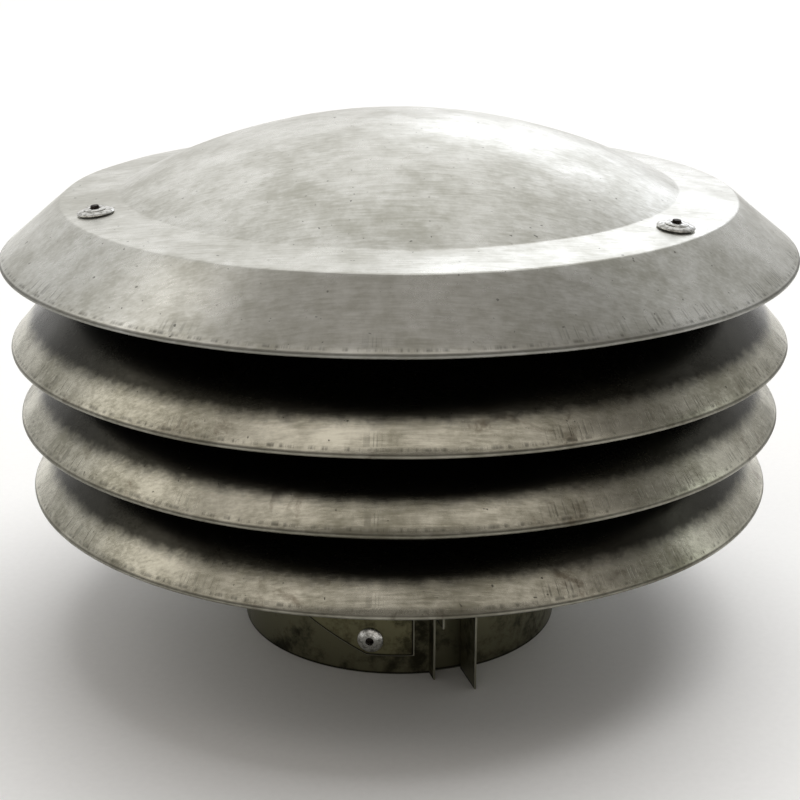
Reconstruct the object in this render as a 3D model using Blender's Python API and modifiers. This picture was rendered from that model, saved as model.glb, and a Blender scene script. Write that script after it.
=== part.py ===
"""Louvred exhaust cowl with a small axial fan inside, on a round duct collar.

The collar's lower rim lies on the plane z = 0 and its axis is the Z axis; the seam plate faces -Y.
A turned sheet is a profile of its outer skin, read from top to bottom, with the wall added inwards.
"""

import math

import bmesh
import bpy
from mathutils import Matrix, Vector

MM = 0.001

# Clearances
CONTACT_GAP = 0.3 * MM      # between pieces that rest on each other
RUN_GAP = 0.1 * MM          # round a turning shaft
FACETS = 48                 # sides of every large turned sheet
FACET_COS = math.cos(math.pi / FACETS)
SMALL_STEPS = 10            # sides of a small fastener
HOLE_STEPS = 12             # sides of a drilled hole

# Duct collar and the dish above it
COLLAR_RADIUS = 49.1 * MM
COLLAR_WALL = 0.6 * MM
COLLAR_UPSTAND = 12.0 * MM  # collar above the pan floor, keeps rain out of the duct
PAN_HEIGHT = 48.6 * MM      # underside of the pan floor
PAN_WALL = 0.8 * MM
PAN_RIM_HEIGHT = 11.0 * MM
PAN_NECK_LENGTH = 10.0 * MM
PAN_BEND = 2.0 * MM

# Cowl: lid and louvres
COWL_RADIUS = 118.5 * MM    # the lid's lip
SHEET = 0.8 * MM
LOWEST_LIP_RISE = 1.5 * MM  # lowest lip above the pan floor
LOUVRE_PITCHES = (23.2 * MM, 21.6 * MM, 25.7 * MM)          # lower to middle, to upper, to the lid
LOUVRE_INSETS = (5.1 * MM, 3.0 * MM, 1.5 * MM)              # lips inside the lid's lip, lower first
LOUVRE_NAMES = ("louvre_lower", "louvre_middle", "louvre_upper")
LOUVRE_SLOPE = math.radians(48.0)
LOUVRE_NECK = 6.0 * MM
LOUVRE_BEND = 2.0 * MM
LIP_RUN = 0.3 * MM
LIP_DROP = 1.0 * MM
SKIRT_RUN = 18.4 * MM
SKIRT_DROP = 16.3 * MM
SKIRT_BEND = 3.0 * MM
CAGE_INSET = 0.6 * MM       # louvre necks inside the edge of the lid's flat ring
FLAT_WIDTH = 17.1 * MM
FLAT_TILT = math.radians(6.0)
DOME_RISE = 20.7 * MM
DOME_STEPS = 7

# Struts
STRUT_AZIMUTHS = (-156.5, -36.5, 83.5)
STRUT_WIDTH = 12.0 * MM
STRUT_SHEET = 1.2 * MM
STRUT_BEND = 2.5 * MM
TAB_LENGTH = 11.0 * MM
STRUT_FOOT_RISE = 3.0 * MM  # strut's lower end above the pan floor

# Blind rivets: flange radius, flange height, shank radius
LID_RIVET = (5.25 * MM, 1.3 * MM, 2.4 * MM)
SEAM_RIVET = (3.9 * MM, 1.1 * MM, 1.9 * MM)
SMALL_RIVET = (2.6 * MM, 0.8 * MM, 1.2 * MM)
HOLE_GAP = 0.3 * MM
BULB_GROWTH = 1.25          # set end of a rivet, as a multiple of its hole
BULB_HEIGHT = 1.6 * MM

# Draw band, seam plate and clamp screw
BAND_WALL = 0.6 * MM
BAND_BELOW_NECK = 4.6 * MM  # band's upper edge below the pan's neck
EAR_MIDDLE = -73.8          # azimuth halfway between the ears
EAR_HALF_ANGLE = 5.7
EAR_LENGTH = 13.4 * MM
EAR_BEND = 1.2 * MM
CUT_EAR_LENGTH = 4.7 * MM   # the left ear, cut back below the screw
EAR_STEP = 6.5 * MM         # screw axis above the cut
PLATE_WALL = 0.6 * MM
PLATE_AZIMUTHS = (-126.0, -85.0)
PLATE_BOTTOM = 6.5 * MM
PLATE_BELOW_BAND = 2.0 * MM # plate's upper edge below the band's
PLATE_CLIP_START = -101.1   # azimuth where the clipped corner leaves the lower edge
PLATE_CLIP_SLOPE = 0.485
SEAM_RIVET_AZIMUTH = -99.7
SEAM_RIVET_HEIGHT = 11.7 * MM
CLAMP_BELOW_BAND = 6.5 * MM # screw axis below the band's upper edge
CLAMP_OUT = 8.2 * MM        # screw axis outside the band
CLAMP_SHANK = 2.0 * MM
CLAMP_SPARE = 3.0 * MM      # screw that stands past the nut
CLAMP_HEAD = (3.8 * MM, 2.8 * MM)
WASHER = (4.4 * MM, 0.8 * MM)
NUT_FLATS = 7.0 * MM
NUT_HEIGHT = 3.2 * MM

# Fan bracket
BRACKET_LIFT = 12.0 * MM    # bracket plate above the collar's upper rim
BRACKET_SHEET = 1.5 * MM
PLATE_MARGIN = 4.0 * MM     # bracket plate outside the motor
LEG_WIDTH = 12.0 * MM
LEG_OUT = 14.0 * MM         # leg outside the collar
LEG_BEND = 3.0 * MM
FOOT_LENGTH = 14.0 * MM
LEG_AZIMUTHS = (-96.5, 23.5, 143.5)
SHEET_SCREW = (3.6 * MM, 2.2 * MM, 1.6 * MM)    # head radius, head height, shank radius
SHEET_SCREW_LENGTH = 6.0 * MM

# Motor
MOTOR_RADIUS = 26.0 * MM
MOTOR_WALL = 1.2 * MM
MOTOR_HEIGHT = 28.0 * MM
CAP_THICKNESS = 5.0 * MM
MOTOR_SCREW_INSET = 6.0 * MM
MOTOR_SCREW_LENGTH = 5.5 * MM
BEARING_RADIUS = 9.5 * MM
BEARING_HEIGHT = 5.0 * MM
POCKET_DEPTH = 3.5 * MM
SHAFT_RADIUS = 3.0 * MM
AIR_GAP = 0.5 * MM
STATOR_WIDTH = 9.0 * MM
CORE_HEIGHT = 18.0 * MM

# Impeller
BLADE_COUNT = 5
BLADE_CLEARANCE = 2.4 * MM
BLADE_WALL = 1.6 * MM
BLADE_CHORD = 23.0 * MM
BLADE_PITCH = math.radians(25.0)
BLADE_TWIST = math.radians(8.0)     # steeper at the root by this
HUB_RADIUS = 16.0 * MM
HUB_HEIGHT = 15.0 * MM
CLIP = (7.0 * MM, 1.2 * MM)
SHAFT_SPARE = 2.0 * MM

# Terminal box
BOX_SIZE = (16.0 * MM, 24.0 * MM, 20.0 * MM)
BOX_WALL = 2.0 * MM
BOX_AZIMUTH = -36.5
BOX_LIFT = 4.0 * MM
GLAND_BORE = 2.6 * MM
GLAND_NECK = 4.4 * MM
GLAND_FLANGE = 7.0 * MM

# Sizes that follow from the ones above
PAN_FLOOR = PAN_HEIGHT + PAN_WALL
COLLAR_TOP = PAN_FLOOR + COLLAR_UPSTAND
COLLAR_BORE = COLLAR_RADIUS - COLLAR_WALL
NECK_INNER = COLLAR_RADIUS + CONTACT_GAP
FLAT_RADIUS = COWL_RADIUS - SKIRT_RUN
CAGE_RADIUS = FLAT_RADIUS - CAGE_INSET
STRUT_FACE = (
    math.sqrt((CAGE_RADIUS - SHEET) ** 2 - (STRUT_WIDTH / 2) ** 2) * FACET_COS - CONTACT_GAP
)
STRUT_INNER = STRUT_FACE - STRUT_SHEET
DOME_RADIUS = FLAT_RADIUS - FLAT_WIDTH
BAND_INNER = COLLAR_RADIUS + CONTACT_GAP
BAND_OUTER = BAND_INNER + BAND_WALL
BAND_HEIGHT = PAN_HEIGHT - PAN_NECK_LENGTH - BAND_BELOW_NECK
CLAMP_HEIGHT = BAND_HEIGHT - CLAMP_BELOW_BAND
CUT_EAR_HEIGHT = CLAMP_HEIGHT - EAR_STEP
PLATE_TOP = BAND_HEIGHT - PLATE_BELOW_BAND
PLATE_INNER = BAND_OUTER + CONTACT_GAP
BRACKET_BOTTOM = COLLAR_TOP + BRACKET_LIFT
BRACKET_PLATE = MOTOR_RADIUS + PLATE_MARGIN
MOTOR_SCREW_CIRCLE = MOTOR_RADIUS - MOTOR_SCREW_INSET
BRACKET_TOP = BRACKET_BOTTOM + BRACKET_SHEET
LEG_RADIUS = COLLAR_RADIUS + LEG_OUT
FOOT_MIDDLE = LEG_RADIUS + FOOT_LENGTH * 0.6
CAP_BOTTOM = BRACKET_TOP + CONTACT_GAP
CAP_TOP = CAP_BOTTOM + CAP_THICKNESS
SHELL_BOTTOM = CAP_TOP + CONTACT_GAP
SHELL_TOP = SHELL_BOTTOM + MOTOR_HEIGHT
LOWER_BEARING = CAP_TOP - POCKET_DEPTH + CONTACT_GAP
UPPER_BEARING = SHELL_TOP - MOTOR_WALL
CORE_BOTTOM = (CAP_TOP + UPPER_BEARING - CORE_HEIGHT) / 2
STATOR_OUTER = MOTOR_RADIUS - MOTOR_WALL - CONTACT_GAP
STATOR_INNER = STATOR_OUTER - STATOR_WIDTH
HUB_TOP = COLLAR_TOP + 0.5 * MM
HUB_BOTTOM = HUB_TOP - HUB_HEIGHT
CLIP_TOP = HUB_BOTTOM - CONTACT_GAP
SHAFT_BOTTOM = CLIP_TOP - CLIP[1] - SHAFT_SPARE
SHAFT_TOP = UPPER_BEARING + BEARING_HEIGHT - CONTACT_GAP


def louvre_lips():
    """Lip radius and lip height of each louvre, lower first, and the height of the lid's lip."""
    height = PAN_HEIGHT + LOWEST_LIP_RISE
    lips = []
    for inset, pitch in zip(LOUVRE_INSETS, LOUVRE_PITCHES):
        lips.append((COWL_RADIUS - inset, height))
        height += pitch
    return lips, height


LOUVRE_LIPS, LID_LIP = louvre_lips()
FLAT_HEIGHT = LID_LIP + SKIRT_DROP


def start_scene():
    """An empty scene with one collection for the parts and one for the cutters."""
    for old in list(bpy.data.objects):
        bpy.data.objects.remove(old, do_unlink=True)
    made = []
    for name in ("exhaust_hood_fan", "cutters"):
        collection = bpy.data.collections.new(name)
        bpy.context.scene.collection.children.link(collection)
        made.append(collection)
    return made


PARTS, CUTTERS = start_scene()


def metal(name, colour, roughness, metallic=1.0):
    """A Principled material of one colour."""
    found = bpy.data.materials.get(name)
    if found:
        return found
    made = bpy.data.materials.new(name)
    made.use_nodes = True
    shader = made.node_tree.nodes["Principled BSDF"]
    shader.inputs["Base Color"].default_value = (*colour, 1.0)
    shader.inputs["Roughness"].default_value = roughness
    shader.inputs["Metallic"].default_value = metallic
    made.diffuse_color = (*colour, 1.0)
    return made


SPUN = ("spun_aluminium", (0.55, 0.55, 0.52), 0.42)
LOUVRED = ("louvre_aluminium", (0.46, 0.45, 0.41), 0.45)
PAN = ("pan_aluminium", (0.40, 0.40, 0.37), 0.5)
GALVANISED = ("galvanised_sheet", (0.33, 0.33, 0.28), 0.5)
STRIP = ("strut_strip", (0.42, 0.42, 0.40), 0.5)
RIVET = ("rivet_aluminium", (0.62, 0.62, 0.60), 0.35)
PLATED = ("zinc_plated_steel", (0.50, 0.49, 0.44), 0.35)
STEEL = ("bearing_steel", (0.55, 0.55, 0.56), 0.25)
LAMINATION = ("core_laminations", (0.20, 0.20, 0.21), 0.55)
MOTOR_PAINT = ("motor_paint", (0.05, 0.055, 0.06), 0.5, 0.0)
NYLON = ("black_nylon", (0.02, 0.02, 0.022), 0.45, 0.0)


def place(obj, point, direction):
    """Put an object's origin at a point with its own +Z along a direction."""
    turn = Vector(direction).to_track_quat("Z", "Y").to_matrix().to_4x4()
    obj.matrix_world = Matrix.Translation(Vector(point)) @ turn


def new_object(name, mesh, look=None, collection=None):
    """An object in its collection, smooth shaded with sharp edges kept."""
    obj = bpy.data.objects.new(name, mesh)
    (collection or PARTS).objects.link(obj)
    if look:
        mesh.materials.append(metal(*look))
    mesh.shade_smooth()
    return obj


def cutter_object(name, mesh):
    """A hidden tool that a Boolean uses."""
    obj = new_object(name, mesh, collection=CUTTERS)
    obj.hide_render = True
    obj.display_type = "WIRE"
    return obj


def boolean(obj, tool, operation):
    """Add an exact Boolean to an object."""
    step = obj.modifiers.new(f"{operation.lower()}_{tool.name}", "BOOLEAN")
    step.operation = operation
    step.solver = "EXACT"
    step.object = tool


def mesh_from(bm, name):
    """Turn a bmesh into a mesh and free it."""
    mesh = bpy.data.meshes.new(name)
    bm.to_mesh(mesh)
    bm.free()
    return mesh


def polyline(name, points, closed=False):
    """A mesh of one line through points."""
    count = len(points)
    edges = [(i, (i + 1) % count) for i in range(count if closed else count - 1)]
    mesh = bpy.data.meshes.new(name)
    mesh.from_pydata(points, edges, [])
    return mesh


def solidify(obj, wall, offset):
    """Give an open sheet its wall."""
    step = obj.modifiers.new("wall", "SOLIDIFY")
    step.thickness = wall
    step.offset = offset
    step.use_even_offset = True


def turned(name, profile, look, steps=FACETS, closed=False, wall=None):
    """Turn a profile of (radius, height) about Z; a wall grows inwards from it."""
    mesh = polyline(name, [(radius, 0.0, height) for radius, height in profile], closed)
    obj = new_object(name, mesh, look)
    spin = obj.modifiers.new("turn", "SCREW")
    spin.axis = "Z"
    spin.steps = steps
    spin.render_steps = steps
    spin.use_merge_vertices = True
    spin.merge_threshold = 0.00001
    spin.use_smooth_shade = True
    if wall:
        solidify(obj, wall, -1.0)
    return obj


def rounded(points, radius, steps=3):
    """A line with each inner corner replaced by an arc."""
    line = [Vector(points[0])]
    for before, corner, after in zip(points, points[1:], points[2:]):
        corner = Vector(corner)
        back = (Vector(before) - corner).normalized()
        ahead = (Vector(after) - corner).normalized()
        half = back.angle(ahead) / 2
        reach = radius / math.tan(half)
        centre = corner + (back + ahead).normalized() * (radius / math.sin(half))
        start = corner + back * reach - centre
        end = corner + ahead * reach - centre
        for i in range(steps + 1):
            line.append(centre + start.slerp(end, i / steps) * radius)
    line.append(Vector(points[-1]))
    return line


def strip_mesh(name, line, width, across):
    """A flat strip that follows a line and has a width to both sides of it."""
    bm = bmesh.new()
    across = Vector(across)
    made = [bm.verts.new(point - across * (width / 2)) for point in line]
    for a, b in zip(made, made[1:]):
        bm.edges.new((a, b))
    grown = bmesh.ops.extrude_edge_only(bm, edges=bm.edges[:])["geom"]
    moved = [item for item in grown if isinstance(item, bmesh.types.BMVert)]
    bmesh.ops.translate(bm, verts=moved, vec=across * width)
    return mesh_from(bm, name)


def drill(obj, holes):
    """Cut round holes, each a centre, an axis, a radius and a length."""
    bm = bmesh.new()
    for centre, axis, radius, length in holes:
        turn = Vector(axis).to_track_quat("Z", "Y").to_matrix().to_4x4()
        bmesh.ops.create_cone(
            bm, cap_ends=True, segments=HOLE_STEPS, radius1=radius, radius2=radius, depth=length,
            matrix=Matrix.Translation(Vector(centre)) @ turn,
        )
    boolean(obj, cutter_object(f"{obj.name}_holes", mesh_from(bm, f"{obj.name}_holes")), "DIFFERENCE")


def level_hole(azimuth, radius, height):
    """A hole for a small rivet that lies along a radius."""
    return at(azimuth, radius, height), compass(azimuth), SMALL_RIVET[2] + HOLE_GAP, 8 * MM


def compass(azimuth):
    """The level direction at an azimuth in degrees."""
    angle = math.radians(azimuth)
    return Vector((math.cos(angle), math.sin(angle), 0.0))


def at(azimuth, radius, height):
    """The point at an azimuth in degrees, a radius and a height."""
    point = compass(azimuth) * radius
    point.z = height
    return point


def blind_rivet(name, sizes, stack, point, direction, steps=SMALL_STEPS, stub=0.0):
    """A set blind rivet: flange on the near side, bulb behind the stack, open or with its mandrel's stub."""
    flange, rise, shank = sizes
    bore = shank * 0.6
    crown = rise + CONTACT_GAP
    profile = [
        (0.0, crown * 0.55 + stub),
        (bore, crown * 0.55 + stub * 0.7),
        (bore, crown * 0.5),
        (bore * 1.25, crown),
        (shank * 1.35, crown),
        (flange * 0.9, crown * 0.6),
        (flange, CONTACT_GAP),
        (shank, CONTACT_GAP),
        (shank, -stack),
        ((shank + HOLE_GAP) * BULB_GROWTH, -stack - 0.4 * MM),
        (shank, -stack - BULB_HEIGHT),
        (0.0, -stack - BULB_HEIGHT),
    ]
    if steps == SMALL_STEPS:
        profile[:4] = [(0.0, crown)]
    obj = turned(name, profile, RIVET, steps)
    place(obj, point, direction)
    return obj


def pan_head_screw(name, head, shank, length, point, direction, steps=SMALL_STEPS):
    """A screw whose head rests on the point's plane, pointing back along the direction."""
    head_radius, head_height = head
    profile = [
        (0.0, head_height + CONTACT_GAP),
        (head_radius * 0.6, head_height + CONTACT_GAP),
        (head_radius, head_height * 0.5 + CONTACT_GAP),
        (head_radius, CONTACT_GAP),
        (shank, CONTACT_GAP),
        (shank, -length + shank * 0.5),
        (shank * 0.5, -length),
        (0.0, -length),
    ]
    obj = turned(name, profile, PLATED, steps)
    place(obj, point, direction)
    return obj


def empty_axis(name, point):
    """An empty that marks a joint's axis."""
    made = bpy.data.objects.new(name, None)
    PARTS.objects.link(made)
    made.location = point
    return made


def hang_on(obj, parent):
    """Parent an object and keep its place."""
    bpy.context.view_layer.update()
    obj.parent = parent
    obj.matrix_parent_inverse = parent.matrix_world.inverted()


def flat_height(radius):
    """Height of the lid's flat ring at a radius."""
    return FLAT_HEIGHT + (FLAT_RADIUS - radius) * math.tan(FLAT_TILT)


# Lid

STRUT_MIDDLE = STRUT_FACE - STRUT_SHEET / 2
TAB_END = STRUT_FACE - TAB_LENGTH
LID_RIVET_RADIUS = TAB_END + LID_RIVET[0]
TILTED = 1.0 / math.cos(FLAT_TILT)


def make_lid():
    """Domed lid with a flat ring, a skirt and a small lip."""
    base = flat_height(DOME_RADIUS)
    sphere = (DOME_RADIUS ** 2 + DOME_RISE ** 2) / (2 * DOME_RISE)
    crown = [(0.0, base + DOME_RISE)]
    for i in range(1, DOME_STEPS):
        radius = DOME_RADIUS * i / DOME_STEPS
        crown.append((radius, base + DOME_RISE - sphere + math.sqrt(sphere ** 2 - radius ** 2)))
    edge = rounded(
        [
            (DOME_RADIUS, base),
            (FLAT_RADIUS, FLAT_HEIGHT),
            (COWL_RADIUS - LIP_RUN, LID_LIP + LIP_DROP),
        ],
        SKIRT_BEND,
    )
    profile = crown + [tuple(point) for point in edge] + [(COWL_RADIUS, LID_LIP)]
    lid = turned("lid", profile, SPUN, wall=SHEET)
    normal_out = math.sin(FLAT_TILT)
    holes = []
    for index, azimuth in enumerate(STRUT_AZIMUTHS, start=1):
        point = at(azimuth, LID_RIVET_RADIUS, flat_height(LID_RIVET_RADIUS))
        normal = compass(azimuth) * normal_out
        normal.z = math.cos(FLAT_TILT)
        holes.append((point, normal, LID_RIVET[2] + HOLE_GAP, 10 * MM))
        stack = SHEET + STRUT_SHEET + 2 * CONTACT_GAP
        blind_rivet(f"lid_rivet_{index}", LID_RIVET, stack, point, normal, steps=18, stub=0.9 * MM)
    drill(lid, holes)
    return holes


LID_HOLES = make_lid()


# Louvres

def cone_top(lip_radius, lip_height):
    """Height where a louvre's slope meets its neck."""
    run = lip_radius - LIP_RUN - CAGE_RADIUS
    return lip_height + LIP_DROP + run * math.tan(LOUVRE_SLOPE)


def neck_middle(lip):
    """Height of the rivets in a louvre's neck."""
    return cone_top(*lip) + LOUVRE_NECK * 0.55


def make_louvre(name, lip):
    """A flared ring with an upright neck and a small lip."""
    lip_radius, lip_height = lip
    top = cone_top(lip_radius, lip_height)
    skin = rounded(
        [
            (CAGE_RADIUS, top + LOUVRE_NECK),
            (CAGE_RADIUS, top),
            (lip_radius - LIP_RUN, lip_height + LIP_DROP),
        ],
        LOUVRE_BEND,
        steps=2,
    )
    profile = [tuple(point) for point in skin] + [(lip_radius, lip_height)]
    louvre = turned(name, profile, LOUVRED, wall=SHEET)
    height = neck_middle(lip)
    drill(louvre, [level_hole(azimuth, CAGE_RADIUS, height) for azimuth in STRUT_AZIMUTHS])
    for index, azimuth in enumerate(STRUT_AZIMUTHS, start=1):
        inner_rivet(f"{name.replace('louvre', 'louvre_rivet')}_{index}", azimuth, height)


def inner_rivet(name, azimuth, height):
    """A small rivet through a strut and the sheet outside it, set from inside."""
    stack = CAGE_RADIUS - STRUT_INNER + CONTACT_GAP
    blind_rivet(name, SMALL_RIVET, stack, at(azimuth, STRUT_INNER, height), -compass(azimuth))


for louvre_name, louvre_lip in zip(LOUVRE_NAMES, LOUVRE_LIPS):
    make_louvre(louvre_name, louvre_lip)


# Base pan and collar

NECK_RIVET_HEIGHT = PAN_HEIGHT - PAN_NECK_LENGTH * 0.55
PAN_RIVET_HEIGHT = PAN_FLOOR + PAN_RIM_HEIGHT * 0.6


def make_base_pan():
    """Dish with an upright rim for the struts and a neck turned down over the collar."""
    neck_outer = NECK_INNER + PAN_WALL
    skin = rounded(
        [
            (CAGE_RADIUS, PAN_FLOOR + PAN_RIM_HEIGHT),
            (CAGE_RADIUS, PAN_HEIGHT),
            (neck_outer, PAN_HEIGHT),
            (neck_outer, PAN_HEIGHT - PAN_NECK_LENGTH),
        ],
        PAN_BEND,
        steps=1,
    )
    pan = turned("base_pan", [tuple(point) for point in skin], PAN, wall=PAN_WALL)
    holes = []
    for azimuth in STRUT_AZIMUTHS:
        holes.append(level_hole(azimuth, CAGE_RADIUS, PAN_RIVET_HEIGHT))
    for azimuth in LEG_AZIMUTHS:
        holes.append(level_hole(azimuth, neck_outer, NECK_RIVET_HEIGHT))
        holes.append((at(azimuth, FOOT_MIDDLE, PAN_FLOOR), (0, 0, 1), SHEET_SCREW[2] + HOLE_GAP, 8 * MM))
    drill(pan, holes)
    for index, azimuth in enumerate(STRUT_AZIMUTHS, start=1):
        inner_rivet(f"pan_rivet_{index}", azimuth, PAN_RIVET_HEIGHT)
    stack = neck_outer - COLLAR_BORE * FACET_COS + CONTACT_GAP
    for index, azimuth in enumerate(LEG_AZIMUTHS, start=1):
        point = at(azimuth, neck_outer, NECK_RIVET_HEIGHT)
        blind_rivet(f"neck_rivet_{index}", SMALL_RIVET, stack, point, compass(azimuth))


def make_collar():
    """Plain round spigot."""
    collar = turned(
        "collar", [(COLLAR_RADIUS, COLLAR_TOP), (COLLAR_RADIUS, 0.0)], GALVANISED, wall=COLLAR_WALL
    )
    holes = [level_hole(azimuth, COLLAR_RADIUS, NECK_RIVET_HEIGHT) for azimuth in LEG_AZIMUTHS]
    holes.append(seam_hole())
    drill(collar, holes)


def seam_hole():
    """The hole for the seam rivet."""
    point = at(SEAM_RIVET_AZIMUTH, BAND_OUTER, SEAM_RIVET_HEIGHT)
    return point, compass(SEAM_RIVET_AZIMUTH), SEAM_RIVET[2] + HOLE_GAP, 8 * MM


make_base_pan()
make_collar()


# Struts

def make_strut(index, azimuth):
    """An upright strip from the pan's rim, bent inwards at the top under the lid's flat ring."""
    drop = (SHEET + CONTACT_GAP + STRUT_SHEET / 2) * TILTED
    line = rounded(
        [
            (STRUT_MIDDLE, 0.0, PAN_FLOOR + STRUT_FOOT_RISE),
            (STRUT_MIDDLE, 0.0, flat_height(STRUT_MIDDLE) - drop),
            (TAB_END, 0.0, flat_height(TAB_END) - drop),
        ],
        STRUT_BEND,
    )
    name = f"strut_{index}"
    strut = new_object(name, strip_mesh(name, line, STRUT_WIDTH, (0, 1, 0)), STRIP)
    solidify(strut, STRUT_SHEET, 0.0)
    place(strut, (0, 0, 0), (0, 0, 1))
    strut.rotation_euler = (0.0, 0.0, math.radians(azimuth))
    levels = [PAN_RIVET_HEIGHT] + [neck_middle(lip) for lip in LOUVRE_LIPS]
    holes = [level_hole(azimuth, STRUT_MIDDLE, level) for level in levels]
    holes.append(LID_HOLES[index - 1])
    drill(strut, holes)


for strut_index, strut_azimuth in enumerate(STRUT_AZIMUTHS, start=1):
    make_strut(strut_index, strut_azimuth)


# Draw band, seam plate and clamp screw

EAR_OUT = compass(EAR_MIDDLE)
CLAMP_AXIS = compass(EAR_MIDDLE + 90.0)


def ear_line():
    """Plan of the band's middle surface: ear, round the collar, ear."""
    radius = BAND_INNER + BAND_WALL / 2
    first = EAR_MIDDLE + EAR_HALF_ANGLE
    last = EAR_MIDDLE - EAR_HALF_ANGLE + 360.0
    count = FACETS - 2
    arc = [at(first + (last - first) * i / count, radius, 0.0) for i in range(count + 1)]
    tip_out = EAR_OUT * EAR_LENGTH
    start = rounded([arc[0] + tip_out, arc[0], arc[1]], EAR_BEND, steps=3)[:-1]
    end = rounded([arc[-2], arc[-1], arc[-1] + tip_out], EAR_BEND, steps=3)[1:]
    return start + arc[1:-1] + end


def clamp_point(along):
    """A point on the clamp screw's axis, measured from halfway between the ears."""
    half = math.radians(EAR_HALF_ANGLE)
    point = EAR_OUT * (BAND_OUTER * math.cos(half) + CLAMP_OUT) + CLAMP_AXIS * along
    point.z = CLAMP_HEIGHT
    return point


EAR_SPAN = 2 * (BAND_INNER + BAND_WALL / 2) * math.sin(math.radians(EAR_HALF_ANGLE)) + BAND_WALL


def make_band():
    """Strip round the collar whose ends are bent out as ears, the left one cut back at its lower end."""
    line = [point + Vector((0, 0, BAND_HEIGHT / 2)) for point in ear_line()]
    band = new_object("clamp_band", strip_mesh("clamp_band", line, BAND_HEIGHT, (0, 0, 1)), GALVANISED)
    solidify(band, BAND_WALL, 0.0)
    drill(band, [
        (clamp_point(0.0), CLAMP_AXIS, CLAMP_SHANK + HOLE_GAP, EAR_SPAN + 6 * MM),
        seam_hole(),
    ])
    half = math.radians(EAR_HALF_ANGLE)
    length = EAR_LENGTH
    start = BAND_OUTER * math.cos(half) + CUT_EAR_LENGTH
    centre = EAR_OUT * (start + length / 2) - CLAMP_AXIS * (EAR_SPAN / 2)
    bm = bmesh.new()
    bmesh.ops.create_cube(bm, size=1.0)
    bmesh.ops.scale(bm, verts=bm.verts, vec=(length, 4 * MM, 2 * CUT_EAR_HEIGHT))
    cut = cutter_object("clamp_band_ear_cut", mesh_from(bm, "clamp_band_ear_cut"))
    cut.location = centre
    cut.rotation_euler = (0.0, 0.0, math.radians(EAR_MIDDLE))
    boolean(band, cut, "DIFFERENCE")


def make_seam_plate():
    """Curved plate with one clipped lower corner."""
    left, right = (math.radians(angle) for angle in PLATE_AZIMUTHS)
    width = right - left
    bm = bmesh.new()
    bmesh.ops.create_grid(bm, x_segments=8, y_segments=1, size=0.5)
    for vertex in bm.verts:
        flat_x = (left + (vertex.co.x + 0.5) * width) * PLATE_INNER
        flat_z = PLATE_BOTTOM + (vertex.co.y + 0.5) * (PLATE_TOP - PLATE_BOTTOM)
        vertex.co = (flat_x, 0.0, flat_z)
    clip = Vector((math.radians(PLATE_CLIP_START) * PLATE_INNER, 0.0, PLATE_BOTTOM))
    bmesh.ops.bisect_plane(
        bm, geom=bm.verts[:] + bm.edges[:] + bm.faces[:], dist=0.00001,
        plane_co=clip, plane_no=(-PLATE_CLIP_SLOPE, 0.0, -1.0), clear_outer=True,
    )
    for vertex in bm.verts:
        angle = vertex.co.x / PLATE_INNER
        height = vertex.co.z
        vertex.co = (PLATE_INNER * math.cos(angle), PLATE_INNER * math.sin(angle), height)
    bmesh.ops.recalc_face_normals(bm, faces=bm.faces)
    for face in bm.faces:
        middle = face.calc_center_median()
        if face.normal.dot(Vector((middle.x, middle.y, 0.0))) < 0:
            face.normal_flip()
    plate = new_object("seam_plate", mesh_from(bm, "seam_plate"), GALVANISED)
    solidify(plate, PLATE_WALL, 1.0)
    drill(plate, [seam_hole()])
    outer = PLATE_INNER + PLATE_WALL
    stack = outer - COLLAR_BORE * FACET_COS + CONTACT_GAP
    point = at(SEAM_RIVET_AZIMUTH, outer, SEAM_RIVET_HEIGHT)
    blind_rivet("seam_rivet", SEAM_RIVET, stack, point, compass(SEAM_RIVET_AZIMUTH), steps=18)


def make_clamp():
    """Screw, washer and nut that draw the ears together."""
    outside = EAR_SPAN / 2
    washer_radius, washer_height = WASHER
    bore = CLAMP_SHANK + RUN_GAP
    washer = turned(
        "clamp_washer",
        [
            (bore, washer_height + CONTACT_GAP),
            (washer_radius, washer_height + CONTACT_GAP),
            (washer_radius, CONTACT_GAP),
            (bore, CONTACT_GAP),
        ],
        PLATED, steps=20, closed=True,
    )
    place(washer, clamp_point(outside), CLAMP_AXIS)
    head_plane = outside + washer_height + CONTACT_GAP
    length = head_plane + outside + CONTACT_GAP + NUT_HEIGHT + CLAMP_SPARE
    screw = pan_head_screw(
        "clamp_screw", CLAMP_HEAD, CLAMP_SHANK, length, clamp_point(head_plane), CLAMP_AXIS, steps=16
    )
    nut_radius = NUT_FLATS / 2 / math.cos(math.pi / 6)
    bm = bmesh.new()
    bmesh.ops.create_cone(
        bm, cap_ends=True, segments=6, radius1=nut_radius, radius2=nut_radius, depth=NUT_HEIGHT,
        matrix=Matrix.Translation((0, 0, CONTACT_GAP + NUT_HEIGHT / 2)),
    )
    nut = new_object("clamp_nut", mesh_from(bm, "clamp_nut"), PLATED)
    place(nut, clamp_point(-outside), -CLAMP_AXIS)
    drill(nut, [(clamp_point(-outside), CLAMP_AXIS, CLAMP_SHANK + RUN_GAP, 4 * NUT_HEIGHT)])
    axis = empty_axis("clamp_axis", clamp_point(0.0))
    hang_on(screw, axis)
    hang_on(washer, axis)


make_band()
make_seam_plate()
make_clamp()


# Fan bracket

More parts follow.
